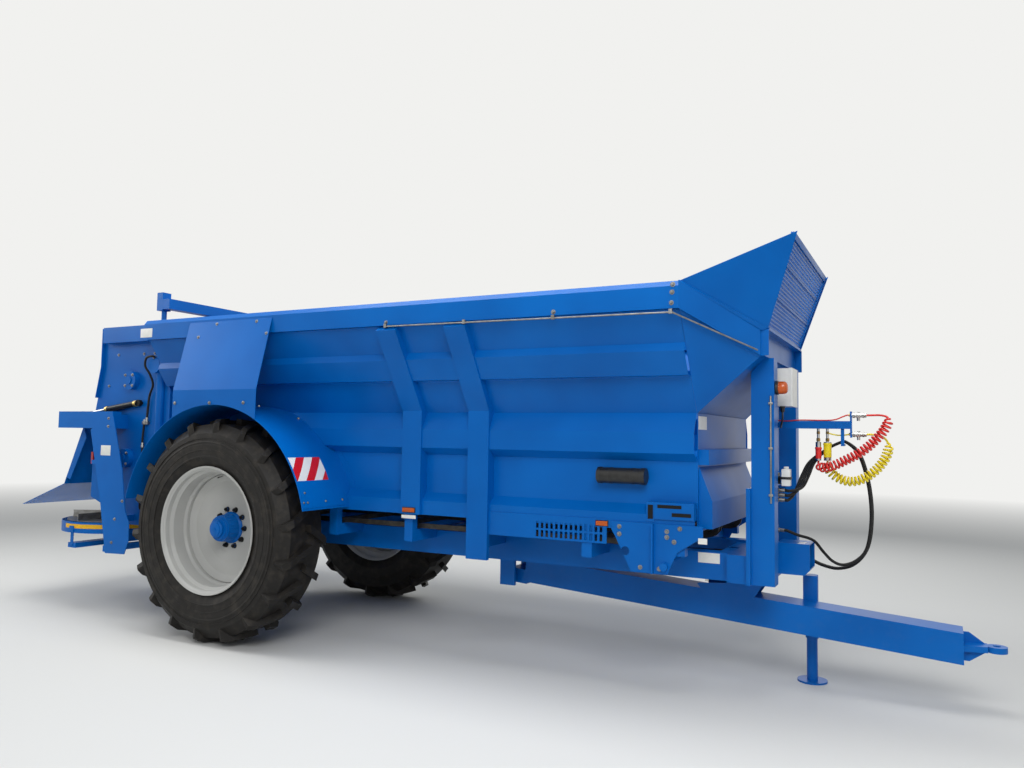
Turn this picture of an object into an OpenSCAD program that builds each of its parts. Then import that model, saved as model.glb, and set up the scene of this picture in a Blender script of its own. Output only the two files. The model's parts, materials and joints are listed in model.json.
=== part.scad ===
// Trailed manure spreader with a slatted chain floor, a slurry door, two horizontal beaters and two
// spinning discs. Places are given from the middle of the axle: X forwards, Y to the left, Z upwards.

/* [Wheels] */
// Outer radius of a tyre, at the tips of its lugs
tyre_r = 985; // [900:5:1050]
// Width of a tyre across its sidewalls
tyre_w = 535; // [460:5:560]
// Height of the tread lugs above the carcass
lug_h = 46; // [30:2:60]
// Lugs along each half of the tread
lug_n = 18; // [14:1:20]
// Radius of the rim at the bead seat
rim_r = 533; // [500:1:560]
// Distance from the middle of the machine to the middle of a tyre
wheel_y = 1200; // [1190:5:1260]
// Pitch circle of the wheel studs
stud_pcd = 335; // [275:5:335]
// Radius of the axle stub in the hub
stub_r = 45; // [35:1:60]
// Side of the square axle beam
axle_side = 140; // [100:5:140]

/* [Load body] */
// Length of the side panels
body_l = 5200; // [4800:50:5600]
// Distance from the axle to the back of the body
body_back = 1050; // [1000:10:1080]
// Half the width over the lower wall of the body
wall_y = 812; // [760:2:830]
// Half the width over the side panels at their top
flare_y = 1270; // [1200:5:1300]
// Height of the bend between lower wall and flare
bend_z = 2030; // [1950:10:2100]
// Height of the underside of the top rail
rail_z = 2712; // [2600:4:2800]
// Depth of the top rail
rail_h = 188; // [140:4:220]
// Thickness of the body sheet
sheet_t = 5; // [3:0.5:8]
// Height of the sill's lower edge
sill_z = 1188; // [1150:2:1220]
// How far the ribs stand out of the wall
rib_out = 88; // [60:2:90]
// How far the ribs stand out of the flare
flare_rib_out = 50; // [30:2:70]
// Width of the upright posts
post_w = 190; // [120:5:240]

/* [Floor] */
// Height of the floor plate's top
floor_z = 1245; // [1235:1:1260]
// Width of a floor slat
slat_w = 50; // [40:1:70]
// Height of a floor slat
slat_h = 40; // [30:1:45]
// Distance from one slat to the next
slat_pitch = 600; // [350:10:600]

/* [Chassis and drawbar] */
// Height of the underside of the chassis rails
chassis_z = 820; // [800:5:840]
// Depth of the chassis rails
chassis_h = 200; // [160:5:200]
// Width of a chassis rail
chassis_w = 120; // [80:5:140]
// Distance from the middle to the centre of a chassis rail
chassis_y = 440; // [400:5:480]
// Width of the drawbar box
drawbar_w = 260; // [200:5:300]
// Depth of the drawbar box
drawbar_h = 210; // [160:5:240]
// Height of the hitch eye
hitch_z = 450; // [420:5:480]
// Bore of the hitch eye
eye_bore = 50; // [40:1:60]
// Thickness of the hitch eye
eye_t = 40; // [30:1:50]

/* [Beaters and discs] */
// Radius of a beater at the tips of its teeth
beater_r = 385; // [300:5:395]
// Radius of a beater's tube
beater_tube_r = 110; // [80:5:150]
// Radius of a beater's shaft ends
beater_shaft_r = 40; // [30:1:50]
// Distance from the middle to the beater housing's side plates
housing_y = 990; // [960:5:1010]
// Radius of a spinner disc
disc_r = 530; // [400:5:545]
// Distance from the middle to a disc's axis
disc_y = 600; // [560:5:620]
// Vanes on each disc
vane_n = 6; // [4:1:8]

/* [Hidden] */

seat_gap = 0.3;
running_gap = 0.05;
blue = "#00509f";

// Heights are given from a level this far below the axle, and the tyres stand at ground_z
axle_z = 985;
ground_z = axle_z - tyre_r;
body_front = body_l - body_back;
rail_top = rail_z + rail_h;
hitch_x = body_front + 1845;
hitch_r = 65;
flap_start = [-2530, 1270];
flap_end = [-3230, 1020];
hood_t = 5;
rear_x = flap_end[0] + hood_t * right_of(unit(flap_end - flap_start))[0];
axle_x = -(hitch_x + hitch_r + rear_x) / 2;

// Moves what is drawn from the axle to the part's own origin, under the middle of its box
module from_axle() translate([axle_x, 0, -ground_z]) children();
module left_and_right() {
    children();
    mirror([0, 1, 0]) children();
}
// Turns an outline of (x, z) points into a plate between two distances along Y
module plate_xz(outline, y0, y1)
    translate([0, y1, 0]) rotate([90, 0, 0]) linear_extrude(y1 - y0) polygon(outline);
// Turns an outline of (y, z) points into a bar between two distances along X
module bar_yz(outline, x0, x1)
    translate([x0, 0, 0]) rotate([90, 0, 90]) linear_extrude(x1 - x0) polygon(outline);
module box(lo, hi) translate(lo) cube(hi - lo);
module rod(r, l) cylinder(h = l, r = r, $fn = 48);
module rod_y(r, x, z, y0, y1) translate([x, y0, z]) rotate([-90, 0, 0]) rod(r, y1 - y0);
module rod_x(r, y, z, x0, x1) translate([x0, y, z]) rotate([0, 90, 0]) rod(r, x1 - x0);
module rod_z(r, x, y, z0, z1) translate([x, y, z0]) rod(r, z1 - z0);

// Folded sheet: the path's points, then the same points moved by t to its right
function unit(v) = v / norm(v);
function right_of(d) = [d[1], -d[0]];
function edge_normal(path, i) = right_of(unit(path[i + 1] - path[i]));
function mitre(path, i) =
    let (last = len(path) - 1)
    let (a = edge_normal(path, max(i - 1, 0)), b = edge_normal(path, min(i, last - 1)))
    (a + b) / (1 + a * b);
function fold(path, t) =
    concat(path, [for (i = [len(path) - 1:-1:0]) path[i] + t * mitre(path, i)]);
// A flat plate of thickness t on a planar loop of 3-D points, thickened along its normal
function loop_normal(loop) = unit(cross(loop[1] - loop[0], loop[2] - loop[1]));
module plate_3d(loop, t) {
    n = len(loop);
    lift = t * loop_normal(loop);
    polyhedron(
        points = concat(loop, [for (p = loop) p + lift]),
        faces = concat(
            [[for (i = [0:n - 1]) i]],
            [[for (i = [n - 1:-1:0]) n + i]],
            [for (i = [0:n - 1]) [i, n + i, n + (i + 1) % n, (i + 1) % n]]));
}

// Side panel: the flare is measured along its slope from the bend, and outwards from it
flare_top = [flare_y, rail_z];
bend = [wall_y + 18, bend_z];
flare_l = norm(flare_top - bend);
flare_dir = unit(flare_top - bend);
function flare_point(s, out) = bend + s * flare_dir + out * right_of(flare_dir);
rib_y = wall_y + rib_out;
lower_rib = [1890, 1740, 1683];
sill_slope = [1369, 1303];
upper_rib = [560, 525, 335, 300];
panel_top = flare_l - sheet_t * flare_dir[0] / flare_dir[1] - seat_gap;
panel_path = [
    flare_point(panel_top, 0), flare_point(upper_rib[0], 0), flare_point(upper_rib[1], flare_rib_out),
    flare_point(upper_rib[2], flare_rib_out), flare_point(upper_rib[3], 0), flare_point(0, 0),
    [rib_y, lower_rib[0]], [rib_y, lower_rib[1]], [wall_y, lower_rib[2]], [wall_y, sill_slope[0]],
    [rib_y - 20, sill_slope[1]], [rib_y - 20, sill_z]];
post_out = 12;
post_y = rib_y + post_out;
post_flare_out = flare_rib_out + post_out;
post_bend_s = (post_y - bend[0] - post_flare_out * flare_dir[1]) / flare_dir[0];
post_path = [
    flare_point(flare_l - 8, post_flare_out), flare_point(post_bend_s, post_flare_out), [post_y, sill_z]];
// Posts: rear end, lower end
post_rear = 0;
post_low = 1;
posts = [[1680, sill_z], [2320, 870]];

module side_panel() {
    bar_yz(fold(panel_path, sheet_t), -body_back, body_front);
    for (post = posts) {
        x0 = post[post_rear];
        bar_yz(concat(panel_path, [for (i = [len(post_path) - 1:-1:0]) post_path[i]]), x0, x0 + post_w);
        if (post[post_low] < sill_z)
            box([x0, rib_y - 25, post[post_low]], [x0 + post_w, post_y, sill_z + 20]);
    }
}
module side_panel_left() color(blue) from_axle() side_panel();
module side_panel_right() color(blue) from_axle() mirror([0, 1, 0]) side_panel();

// Top rails
rail_w = 87;
rail_out = flare_y + 32;
rail_bevel = 38;
rail_outline = [[rail_out - rail_w, rail_z], [rail_out, rail_z], [rail_out, rail_top - rail_bevel],
    [rail_out - 30, rail_top], [rail_out - rail_w, rail_top]];
module top_rails() color(blue) from_axle() left_and_right()
    bar_yz(rail_outline, -body_back - 40, body_front);

// Front hood: corner of the rail, corner of the front beam, top corner of the screen
hood_low = [body_front, rail_out, rail_z];
beam_x = body_front + 486;
beam_web = beam_x - 61;
beam_y = 765;
beam_z = [2432, 2614];
beam_t = 5;
beam_back = beam_web - beam_t;
hem_h = 14;
screen_top = [body_front + 700, 865, 3265];
module front_wall() color(blue) from_axle() {
    foot_y = bend[0] - sheet_t;
    box([body_front, -wall_y, sill_z], [body_front + sheet_t, wall_y, bend_z]);
    plate_3d([[body_front, foot_y, bend_z], [body_front, -foot_y, bend_z],
        [beam_back, -beam_y, beam_z[0]], [beam_back, beam_y, beam_z[0]]], sheet_t);
    left_and_right() plate_3d([[body_front, foot_y - 5, bend_z + 1], [body_front, flare_y - 6, rail_z - 7],
        [beam_back - 6, beam_y - 1, beam_z[0] - 13]], sheet_t);
    // Cover of the front shaft and its chains
    plate_xz(
        [[body_front, 1215], [body_front + 100, 1215], [body_front + 100, 1405], [body_front + 4, 1650]],
        -wall_y + 30, wall_y - 30);
}
module hood_frame() color(blue) from_axle() {
    box([beam_back, -beam_y, beam_z[0]], [beam_web, beam_y, beam_z[1]]);
    box([beam_back, -beam_y, beam_z[1] - beam_t], [beam_x, beam_y, beam_z[1]]);
    box([beam_back, -beam_y, beam_z[0]], [beam_web + 30, beam_y, beam_z[0] + beam_t]);
    box([beam_x - 35, 25 - beam_y, beam_z[1] - 1], [beam_x, beam_y - 25, beam_z[1] + hem_h]);
    left_and_right() {
        box([beam_back, beam_y - beam_t, beam_z[0]], [beam_x, beam_y, beam_z[1]]);
        a = hood_low[0];
        polyhedron(
            points = [[a, rail_out - 60, rail_z], [a, rail_out, rail_z], [a, rail_out, rail_top],
                [a, rail_out - 60, rail_top], [beam_back - 30, beam_y - 20, beam_z[0]],
                [beam_web + 8, beam_y + 25, beam_z[0]], [beam_web + 8, beam_y + 25, beam_z[1]],
                [beam_back - 30, beam_y - 20, beam_z[1]]],
            faces = [[0, 1, 2, 3], [7, 6, 5, 4], [4, 5, 1], [4, 1, 0], [5, 6, 2, 1], [6, 7, 3], [6, 3, 2],
                [7, 4, 0, 3]]);
    }
}
module hood_wings() color(blue) from_axle() left_and_right()
    plate_3d([[hood_low[0], rail_out - 34, rail_top + seat_gap], [beam_x - 6, beam_y - 6, beam_z[1] + 4],
        screen_top - [6, 4, 4]], 4);
screen_t = 4;
screen_foot = beam_z[1] + hem_h + seat_gap;
screen_lean = atan2(screen_top[0] - beam_x, screen_top[2] - screen_foot);
screen_h = norm([screen_top[0] - beam_x, screen_top[2] - screen_foot]) - 8;
module on_screen() translate([beam_x - 30, 0, screen_foot + screen_t * sin(screen_lean)])
    rotate([0, screen_lean, 0]) rotate([90, 0, 90]) children();
module hood_screen() color(blue) from_axle() on_screen() {
    foot = beam_y + 2;
    head = screen_top[1] - 4;
    linear_extrude(screen_t) difference() {
        polygon([[-foot, 0], [foot, 0], [head, screen_h], [-head, screen_h]]);
        for (col = [-4:4], row = [0:12])
            translate([col * 158 - 68, 30 + row * 46]) square([136, 26]);
    }
    translate([20 - screen_top[1], screen_h - 38, -18]) cube([2 * screen_top[1] - 40, 38, 20]);
}

// Floor with its chains
floor_half = wall_y - sheet_t - 2;
chain_low = axle_z + axle_side / 2 + 30;
shaft_z = (floor_z + slat_h / 2 + chain_low) / 2;
chain_r = floor_z + seat_gap + slat_h / 2 - shaft_z;
shaft_r = 35;
shaft_x = [-body_back + 40, body_front - 130];
module floor_plate() color(blue) from_axle() {
    box([shaft_x[0] + 95, -floor_half, floor_z - 6], [shaft_x[1] - 95, floor_half, floor_z]);
    for (x = [-700:800:3300])
        box([x, -floor_half, sill_z], [x + 60, floor_half, floor_z - 5]);
}
chain_out = floor_half - 25;
chain_ys = [-chain_out, -40, 40, chain_out];
module slat_run(z) for (x = [shaft_x[0] + 150:slat_pitch:shaft_x[1] - 100])
    left_and_right() box([x, 40, z], [x + slat_w, chain_out, z + slat_h]);
module floor_chains() color("#3a3a3a") from_axle() {
    top = shaft_z + chain_r - slat_h / 2;
    slat_run(top);
    slat_run(2 * shaft_z - top - slat_h);
    for (y = chain_ys, side = [-1, 1])
        translate([0, y - 10, shaft_z + side * chain_r - slat_h / 2])
            box([shaft_x[0], 0, 0], [shaft_x[1], 20, slat_h]);
    for (y = chain_ys, end = [0, 1])
        translate([shaft_x[end], y, shaft_z]) rotate([90, 0, 0]) rotate([0, 0, end == 0 ? 90 : -90])
            rotate_extrude(angle = 180, $fn = 12) translate([chain_r - slat_h / 2, -10]) square([slat_h, 20]);
}
module floor_shafts() color("#3a3a3a") from_axle() for (x = shaft_x) {
    rod_y(shaft_r, x, shaft_z, -rib_y + 25, rib_y - 25);
    for (y = chain_ys) rod_y(chain_r - slat_h / 2 - 4, x, shaft_z, y - 18, y + 18);
}

// Chassis
chassis_top = chassis_z + chassis_h;
chassis_ends = [-1200, body_front + 150];
outrigger_x = [-900, 900, 1700, 2380, body_front - 850, body_front - 290];
module chassis() color(blue) from_axle() difference() {
    union() {
        left_and_right() {
            box([chassis_ends[0], chassis_y - chassis_w / 2, chassis_z],
                [chassis_ends[1], chassis_y + chassis_w / 2, chassis_top]);
            for (x = outrigger_x) {
                box([x, chassis_y, chassis_top - 60], [x + 80, rib_y - 25, chassis_top + 36]);
                box([x, rib_y - 95, chassis_top], [x + 80, rib_y - 25, sill_z]);
            }
            box([-160, chassis_y - 70, chassis_z - 30], [160, chassis_y + 70, chassis_top - 20]);
        }
        for (x = [-1200, -500, 500, 1500, 2280, body_front - 950, body_front + 30])
            box([x, -chassis_y, chassis_z + 20], [x + 100, chassis_y, chassis_top - 20]);
        for (side = [-1, 1])
            box([pivot_x - 60, side * (hanger_y + 15) - 15, pivot_z - 80],
                [pivot_x + 80, side * (hanger_y + 15) + 15, chassis_z + 30]);
        rod_y(30, pivot_x, pivot_z, -hanger_y - 20, hanger_y + 20);
        for (x = shaft_x) left_and_right()
            box([x - 60, rib_y - 95, chassis_top], [x + 60, rib_y - 25, sill_z]);
    }
    axle_box(wheel_y);
    for (x = shaft_x) rod_y(shaft_r + running_gap, x, shaft_z, -1000, 1000);
    drive_hole();
}
pivot_x = posts[1][post_rear];
pivot_z = 640;
hanger_y = 185;

// Axle with its stubs
hub_back = 1020;
module axle_box(half)
    box([-axle_side / 2, -half, axle_z - axle_side / 2], [axle_side / 2, half, axle_z + axle_side / 2]);
module axle_beam() color(blue) from_axle() {
    axle_box(hub_back - 10);
    left_and_right() rod_y(stub_r, 0, axle_z, hub_back - 20, wheel_y + 90);
}

// Wheels, drawn about their own axis with the outer side towards +Z
carcass_r = tyre_r - lug_h;
half_w = tyre_w / 2;
// Outer wall of the tyre: radius, distance from the middle
tyre_wall = [[rim_r, half_w - 50], [rim_r + 110, half_w - 3], [rim_r + 210, half_w],
    [carcass_r - 95, half_w - 10], [carcass_r - 12, half_w - 80]];
tyre_inner = [[carcass_r - 60, half_w - 90], [rim_r + 60, half_w - 40], [rim_r, half_w - 80]];
function other_side(points) = [for (i = [len(points) - 1:-1:0]) [points[i][0], -points[i][1]]];
tyre_section = concat(tyre_wall, other_side(tyre_wall), other_side(tyre_inner), tyre_inner);
// Middle of the tread to its shoulder: distance from the middle, shift around the tyre
lug_w = 56;
lug_line = [[-10, 90], [half_w - 6, -60]];
function lug_top(drop, shift) = sqrt(pow(tyre_r - drop, 2) - shift * shift);
// Side of a lug: radius, distance from the middle
lug_side = [[carcass_r - 30, 10], [lug_top(0, 100), 10], [lug_top(12, 90), 75 - half_w],
    [lug_top(48, 115), 14 - half_w], [carcass_r - 95, 5 - half_w], [carcass_r - 105, 40 - half_w],
    [carcass_r - 45, 82 - half_w]];
module lug() intersection() {
    rotate([0, 90, 0]) linear_extrude(tyre_r) polygon(fold(lug_line, lug_w));
    translate([0, 110, 0]) rotate([90, 0, 0]) linear_extrude(260) polygon(lug_side);
}
module tyre() {
    rotate_extrude($fn = 32) polygon(tyre_section);
    for (i = [0:lug_n - 1]) {
        rotate([0, 0, i * 360 / lug_n]) lug();
        rotate([0, 0, (i + 0.5) * 360 / lug_n]) mirror([0, 0, 1]) lug();
    }
}
rim_t = 9;
rim_half = 245;
disc_plane = -65;
disc_t = 14;
// Rim from its outer flange to its inner one: radius, distance from the middle
rim_path = [[rim_r + 25, rim_half], [rim_r + 12, rim_half - 6], [rim_r - seat_gap, rim_half - 22],
    [rim_r - seat_gap, 180], [rim_r - 24, 155], [rim_r - 24, 45], [rim_r - 40, 25], [rim_r - 40, -150],
    [rim_r - seat_gap, -185], [rim_r - seat_gap, -rim_half + 22], [rim_r + 12, -rim_half + 6],
    [rim_r + 25, -rim_half]];
wheel_disc = [
    [rim_r - 40 - rim_t + 1, -15], [rim_r - 110, -45], [rim_r - 220, -62], [240, disc_plane],
    [141, disc_plane]];
module at_studs() for (i = [0:9])
    rotate([0, 0, i * 36]) translate([stud_pcd / 2, 0, disc_plane - 20]) children();
module rim() difference() {
    union() {
        rotate_extrude($fn = 72) polygon(fold(rim_path, rim_t));
        rotate_extrude($fn = 72) polygon(fold(wheel_disc, disc_t));
    }
    at_studs() cylinder(h = 40, r = 12, $fn = 24);
}
hub_section = [
    [stub_r + running_gap, hub_back - wheel_y], [100, hub_back - wheel_y], [100, disc_plane - 40],
    [205, disc_plane - 40], [205, disc_plane], [140, disc_plane], [140, disc_plane + 22],
    [124, disc_plane + 36],
    [112, 62], [112, 84], [96, 84], [96, 104], [76, 104], [76, 128], [68, 135], [0, 135], [0, 95],
    [stub_r + running_gap, 95]];
module hub() {
    rotate_extrude($fn = 60) polygon(hub_section);
    at_studs() {
        cylinder(h = 60, r = 11, $fn = 24);
        translate([0, 0, 20 + disc_t + seat_gap]) cylinder(h = 22, r = 18, $fn = 6);
    }
}
module at_left_wheel() from_axle() translate([0, wheel_y, axle_z]) rotate([-90, 0, 0]) children();
module at_right_wheel() from_axle() translate([0, -wheel_y, axle_z]) rotate([90, 0, 0]) children();
module tyre_left() color("#1c1c1c") at_left_wheel() rotate([180, 0, 0]) tyre();
module tyre_right() color("#1c1c1c") at_right_wheel() tyre();
module rim_left() color("#b9b9b6") at_left_wheel() rim();
module rim_right() color("#b9b9b6") at_right_wheel() rim();
module hub_left() color(blue) at_left_wheel() hub();
module hub_right() color(blue) at_right_wheel() hub();

// Front frame
frame_x = body_front + 325;
frame_front = frame_x + 160;
foot_front = frame_x + 100;
electric_x = body_front + 450;
manifold_y = -100;
function slope_z(x) = bend_z + (x - body_front) / (beam_back - body_front) * (beam_z[0] - bend_z) - 9;
module front_frame() color(blue) from_axle() {
    for (z = [1500, 2150]) box([frame_x + 40, -435, z], [frame_x + 90, 435, z + 90]);
    box([frame_x + 50, -40, 1510], [frame_x + 90, 40, 2240]);
    box([frame_x + 80, -200, 2180], [electric_x - seat_gap, -160, 2220]);
    for (side = [-1, 1]) {
        plate_xz([[frame_x, chassis_z], [frame_front, chassis_z], [frame_front, beam_z[0] - seat_gap],
            [beam_back, beam_z[0] - seat_gap], [frame_x, slope_z(frame_x)]],
            side * 500 - 70, side * 500 + 70);
        box([frame_x - 30, side * 500 - 110, chassis_z], [frame_x, side * 500 + 110, 1500]);
    }
    box([foot_front - 60, manifold_y - 40, chassis_top - 10], [foot_front, manifold_y + 40, 1210]);
    difference() {
        box([chassis_ends[1], -570, chassis_z], [foot_front, 570, chassis_top]);
        drive_hole();
    }
}

// Drawbar, drawn along its own sloping axis from the pivot
drawbar_rise = 62;
drawbar_end = hitch_x - 200;
drawbar_slope = atan2(pivot_z + drawbar_rise - hitch_z, drawbar_end - pivot_x);
drawbar_l = (drawbar_end - pivot_x + 30) / cos(drawbar_slope);
cylinder_rest = [
    [body_front - 180, 725], [body_front + 330, 765], [body_front + 250, 640], [body_front - 90, 600]];
module on_drawbar() translate([pivot_x, 0, pivot_z]) rotate([0, drawbar_slope, 0]) children();
module drawbar() color(blue) from_axle() difference() {
    union() {
        on_drawbar() {
            box([140, -drawbar_w / 2, drawbar_rise - drawbar_h / 2],
                [drawbar_l, drawbar_w / 2, drawbar_rise + drawbar_h / 2]);
            box([0, -drawbar_w / 2, -60], [160, drawbar_w / 2, 60]);
            rod_y(60, 0, 0, -hanger_y + seat_gap, hanger_y - seat_gap);
        }
        left_and_right() plate_xz(cylinder_rest, drawbar_w / 2 - 1, drawbar_w / 2 + 8);
    }
    on_drawbar() rod_y(30 + running_gap, 0, 0, -300, 300);
    box([drawbar_end, -300, 0], [drawbar_end + 200, 300, 900]);
}
module hitch_eye() color(blue) from_axle() difference() {
    union() {
        translate([0, 0, hitch_z - eye_t / 2]) linear_extrude(eye_t)
            polygon([[drawbar_end, -100], [hitch_x - 55, -62], [hitch_x - 55, 62], [drawbar_end, 100]]);
        rod_z(hitch_r, hitch_x, 0, hitch_z - eye_t / 2, hitch_z + eye_t / 2);
        for (side = [-1, 1])
            plate_xz([[drawbar_end, hitch_z + side * 10], [drawbar_end, hitch_z + side * 90],
                [drawbar_end + 35, hitch_z + side * 90], [drawbar_end + 140, hitch_z + side * 15]],
                side * 40 - 8, side * 40 + 8);
    }
    rod_z(eye_bore / 2, hitch_x, 0, hitch_z - 50, hitch_z + 50);
}
module drawbar_cylinder() color("#a8a8a8") from_axle() {
    rod_x(36, 0, chassis_z - 37, body_front - 150, body_front + 240);
    rod_x(30, 0, chassis_z - 37, body_front + 235, body_front + 320);
    for (x = [body_front - 120, body_front + 270])
        box([x, -drawbar_w / 2 + 1, 740], [x + 30, drawbar_w / 2 - 1, 760]);
}

// Parking jack
jack_x = body_front + 625;
jack_y = 220;
module jack_tube() color(blue) from_axle() difference() {
    union() {
        rod_z(48, jack_x, jack_y, 330, 810);
        box([jack_x - 52, drawbar_w / 2 + seat_gap, 440], [jack_x + 52, drawbar_w / 2 + 15, 815]);
        for (z = [470, 740]) box([jack_x - 30, drawbar_w / 2 + 10, z], [jack_x + 30, jack_y, z + 40]);
    }
    rod_z(40 + running_gap, jack_x, jack_y, 300, 790);
}
module jack_leg() color(blue) from_axle() {
    rod_z(40, jack_x, jack_y, ground_z + 12, 470);
    rod_z(110, jack_x, jack_y, ground_z, ground_z + 14);
}

// Side skirts and brackets
skirt_x = [2510, body_front - 650];
skirt_z = [1070, sill_z];
slot_pitch = 40;
module side_skirts() color(blue) from_axle() left_and_right() difference() {
    box([skirt_x[0], rib_y - 20, skirt_z[0]], [skirt_x[1], rib_y - 14, 1250]);
    for (x = [skirt_x[1] - 575:slot_pitch:skirt_x[1] - 20], row = [0, 1])
        box([x, rib_y - 40, 1085 + row * 65], [x + 22, rib_y, 1135 + row * 65]);
}
// Side bracket: distance in front of the body's front end, height
bracket = [[-610, 1240], [-610, 1180], [-580, 1130], [-460, 890], [-190, 890], [-150, 985], [-119, 1048],
    [60, 1165], [60, 1240]];
module side_brackets() color(blue) from_axle() translate([body_front, 0, 0]) left_and_right() difference() {
    union() {
        plate_xz(bracket, rib_y - 20, rib_y - 8);
        plate_xz([[-300, 890], [-288, 890], [-288, 1240], [-300, 1240]], rib_y - 10, rib_y + 30);
        rod_y(28, -212, 943, rib_y - 20, rib_y + 25);
    }
    rod_y(32, -505, 1032, 0, 2000);
}
module document_tube() color("#1c1c1c") from_axle()
    rod_x(58, -wall_y - 58 - seat_gap, 1570, body_front - 720, body_front - 360);

// Mudguards and the covers above them
guard_x = 40;
guard_r = tyre_r + 108;
guard_edge = 1466;
guard_ends = [192, 348];
wall_shape = concat([for (p = panel_path) p + [seat_gap, 0]], [[0, sill_z], [0, rail_z]]);
// Part of a ring round the guard's own middle: inner radius, thickness, start and length of its arc, y
module guard_arc(r, t, start, length, y0, y1)
    translate([guard_x, 0, axle_z]) rotate([-90, 0, 0]) rotate([0, 0, start])
        rotate_extrude(angle = length, $fn = 180) translate([r, y0]) square([t, y1 - y0]);
module mudguards() color(blue) from_axle() left_and_right() difference() {
    union() {
        guard_arc(guard_r, sheet_t, guard_ends[0], guard_ends[1] - guard_ends[0], wall_y, guard_edge);
        guard_arc(guard_r + 1, 60, guard_ends[0], guard_ends[1] - guard_ends[0], wall_y, wall_y + 5);
        guard_arc(guard_r + 1, sheet_t + 4, guard_ends[1] - 13, 12, rib_y + 30, guard_edge - 3);
    }
    bar_yz(wall_shape, -1300, 1300);
}
cover_y = 1465;
cover_path = [[rail_out, rail_top - 60], [cover_y - 5, 2210], [cover_y, axle_z + 400]];
cover_x = [-455, 555];
module side_covers() color(blue) from_axle() left_and_right() difference() {
    bar_yz(fold(cover_path, -sheet_t), cover_x[0], cover_x[1]);
    translate([guard_x, 0, axle_z]) rotate([-90, 0, 0])
        cylinder(h = 2000, r = guard_r + sheet_t + seat_gap, $fn = 180);
}

// Rear frame, slurry door and its cylinders
door_x = -body_back - 40;
guide_y = 905;
door_half = 880;
module rear_frame() color(blue) from_axle() left_and_right() {
    box([door_x - 45, guide_y - 8, sill_z], [door_x + 35, housing_y + 10, rail_top]);
    box([door_x + 5 + 8, wall_y + 10, sill_z], [-body_back - 1, guide_y, rail_z]);
    bar_yz([[guide_y + 50, bend_z + 120], [flare_y - 60, rail_z], [flare_y - 60, rail_top],
        [guide_y + 50, rail_top]], -body_back - 6, -body_back - 1);
}
door_low = floor_z + slat_h + 6;
door_top = rail_top;
lift_z = [3050, 3150];
rod_place = [door_x - 90, 1010];
rod_r = 25;
cylinder_r = 45;
module slurry_door() color(blue) from_axle() {
    box([door_x - 4, -door_half, door_low], [door_x + 4, door_half, door_top]);
    for (z = [door_low:380:door_top - 60])
        box([door_x - 40, -door_half + 30, z], [door_x - 4, door_half - 30, z + 60]);
    for (side = [-1, 1]) {
        box([door_x - 30, side * 500 - 40, door_top - 200], [door_x + 4, side * 500 + 40, lift_z[1]]);
        rod_z(rod_r, rod_place[0], side * rod_place[1], 1600, lift_z[0] + 20);
    }
    box([door_x - 60, -1060, lift_z[0]], [door_x + 40, 1060, lift_z[1]]);
    left_and_right() box([door_x - 140, 960, lift_z[0] - 10], [door_x - 60, 1060, lift_z[1] + 70]);
}
module door_cylinders() color(blue) from_axle() left_and_right() difference() {
    rod_z(cylinder_r, rod_place[0], rod_place[1], 1440, 2860);
    rod_z(rod_r + running_gap, rod_place[0], rod_place[1], 1500, 2900);
}

// Beater housing and beaters
beater_x = [-1640, -1600];
beater_z = [1560, 2350];
housing_front = door_x - 45 - seat_gap;
housing_rear = [[-2080, rail_top], [-2080, 2500], [-2190, 2000], [-2190, 1150]];
housing_outline = concat(
    [[housing_front, 900], [housing_front, rail_top]], housing_rear, [[-1780, 1000], [-1700, 900]]);
housing_t = 10;
// Foot of the flange on the housing's slanting rear edge
flange_foot = [-2150.4, 2180];
housing_face = housing_y + housing_t;
module housing_side() difference() {
    plate_xz(housing_outline, housing_y, housing_face);
    for (i = [0, 1]) rod_y(beater_shaft_r + running_gap, beater_x[i], beater_z[i], 0, 2000);
    rod_y(15 + running_gap, barrel_pin[0], barrel_pin[1], 0, 2000);
    rod_z(cylinder_r + seat_gap, rod_place[0], rod_place[1], 1000, 3000);
}
module beater_housing() color(blue) from_axle() {
    left_and_right() housing_side();
    box([-2100, -housing_y, 2820], [-2020, housing_y, rail_top]);
}
// Bearings of the beaters and what is bolted to the outside of the housing
module beater_bearings() color(blue) from_axle() left_and_right() {
    for (i = [0, 1]) difference() {
        rod_y(95, beater_x[i], beater_z[i], housing_face, housing_y + 70);
        rod_y(beater_shaft_r + running_gap, beater_x[i], beater_z[i], 0, 2000);
    }
    rod_y(78, rod_place[0], 2490, rod_place[1] + cylinder_r + seat_gap, rod_place[1] + 90);
    // Flange down the housing's rear edge, and its stiffener at the top
    plate_xz(fold([flange_foot, housing_rear[1], housing_rear[0]], 6), housing_face, housing_face + 35);
    difference() {
        box([-2000, housing_face, 2740], [housing_front, housing_y + 90, rail_top]);
        rod_z(cylinder_r + seat_gap, rod_place[0], rod_place[1], 1000, 3000);
    }
    // Brackets that carry the spreading deck
    box([-1720, housing_face, 1860], [-1660, arm_inner - seat_gap, 2000]);
    box([-1560, housing_face, 940], [-1500, deck_y - seat_gap, 1000]);
}
flight_r = beater_r - 60;
flight_half = housing_y - 25;
flight_t = 10;
flight_turns = 1;
flight_steps = 24;
flight_edge = [beater_tube_r - 8, flight_r];
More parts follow.
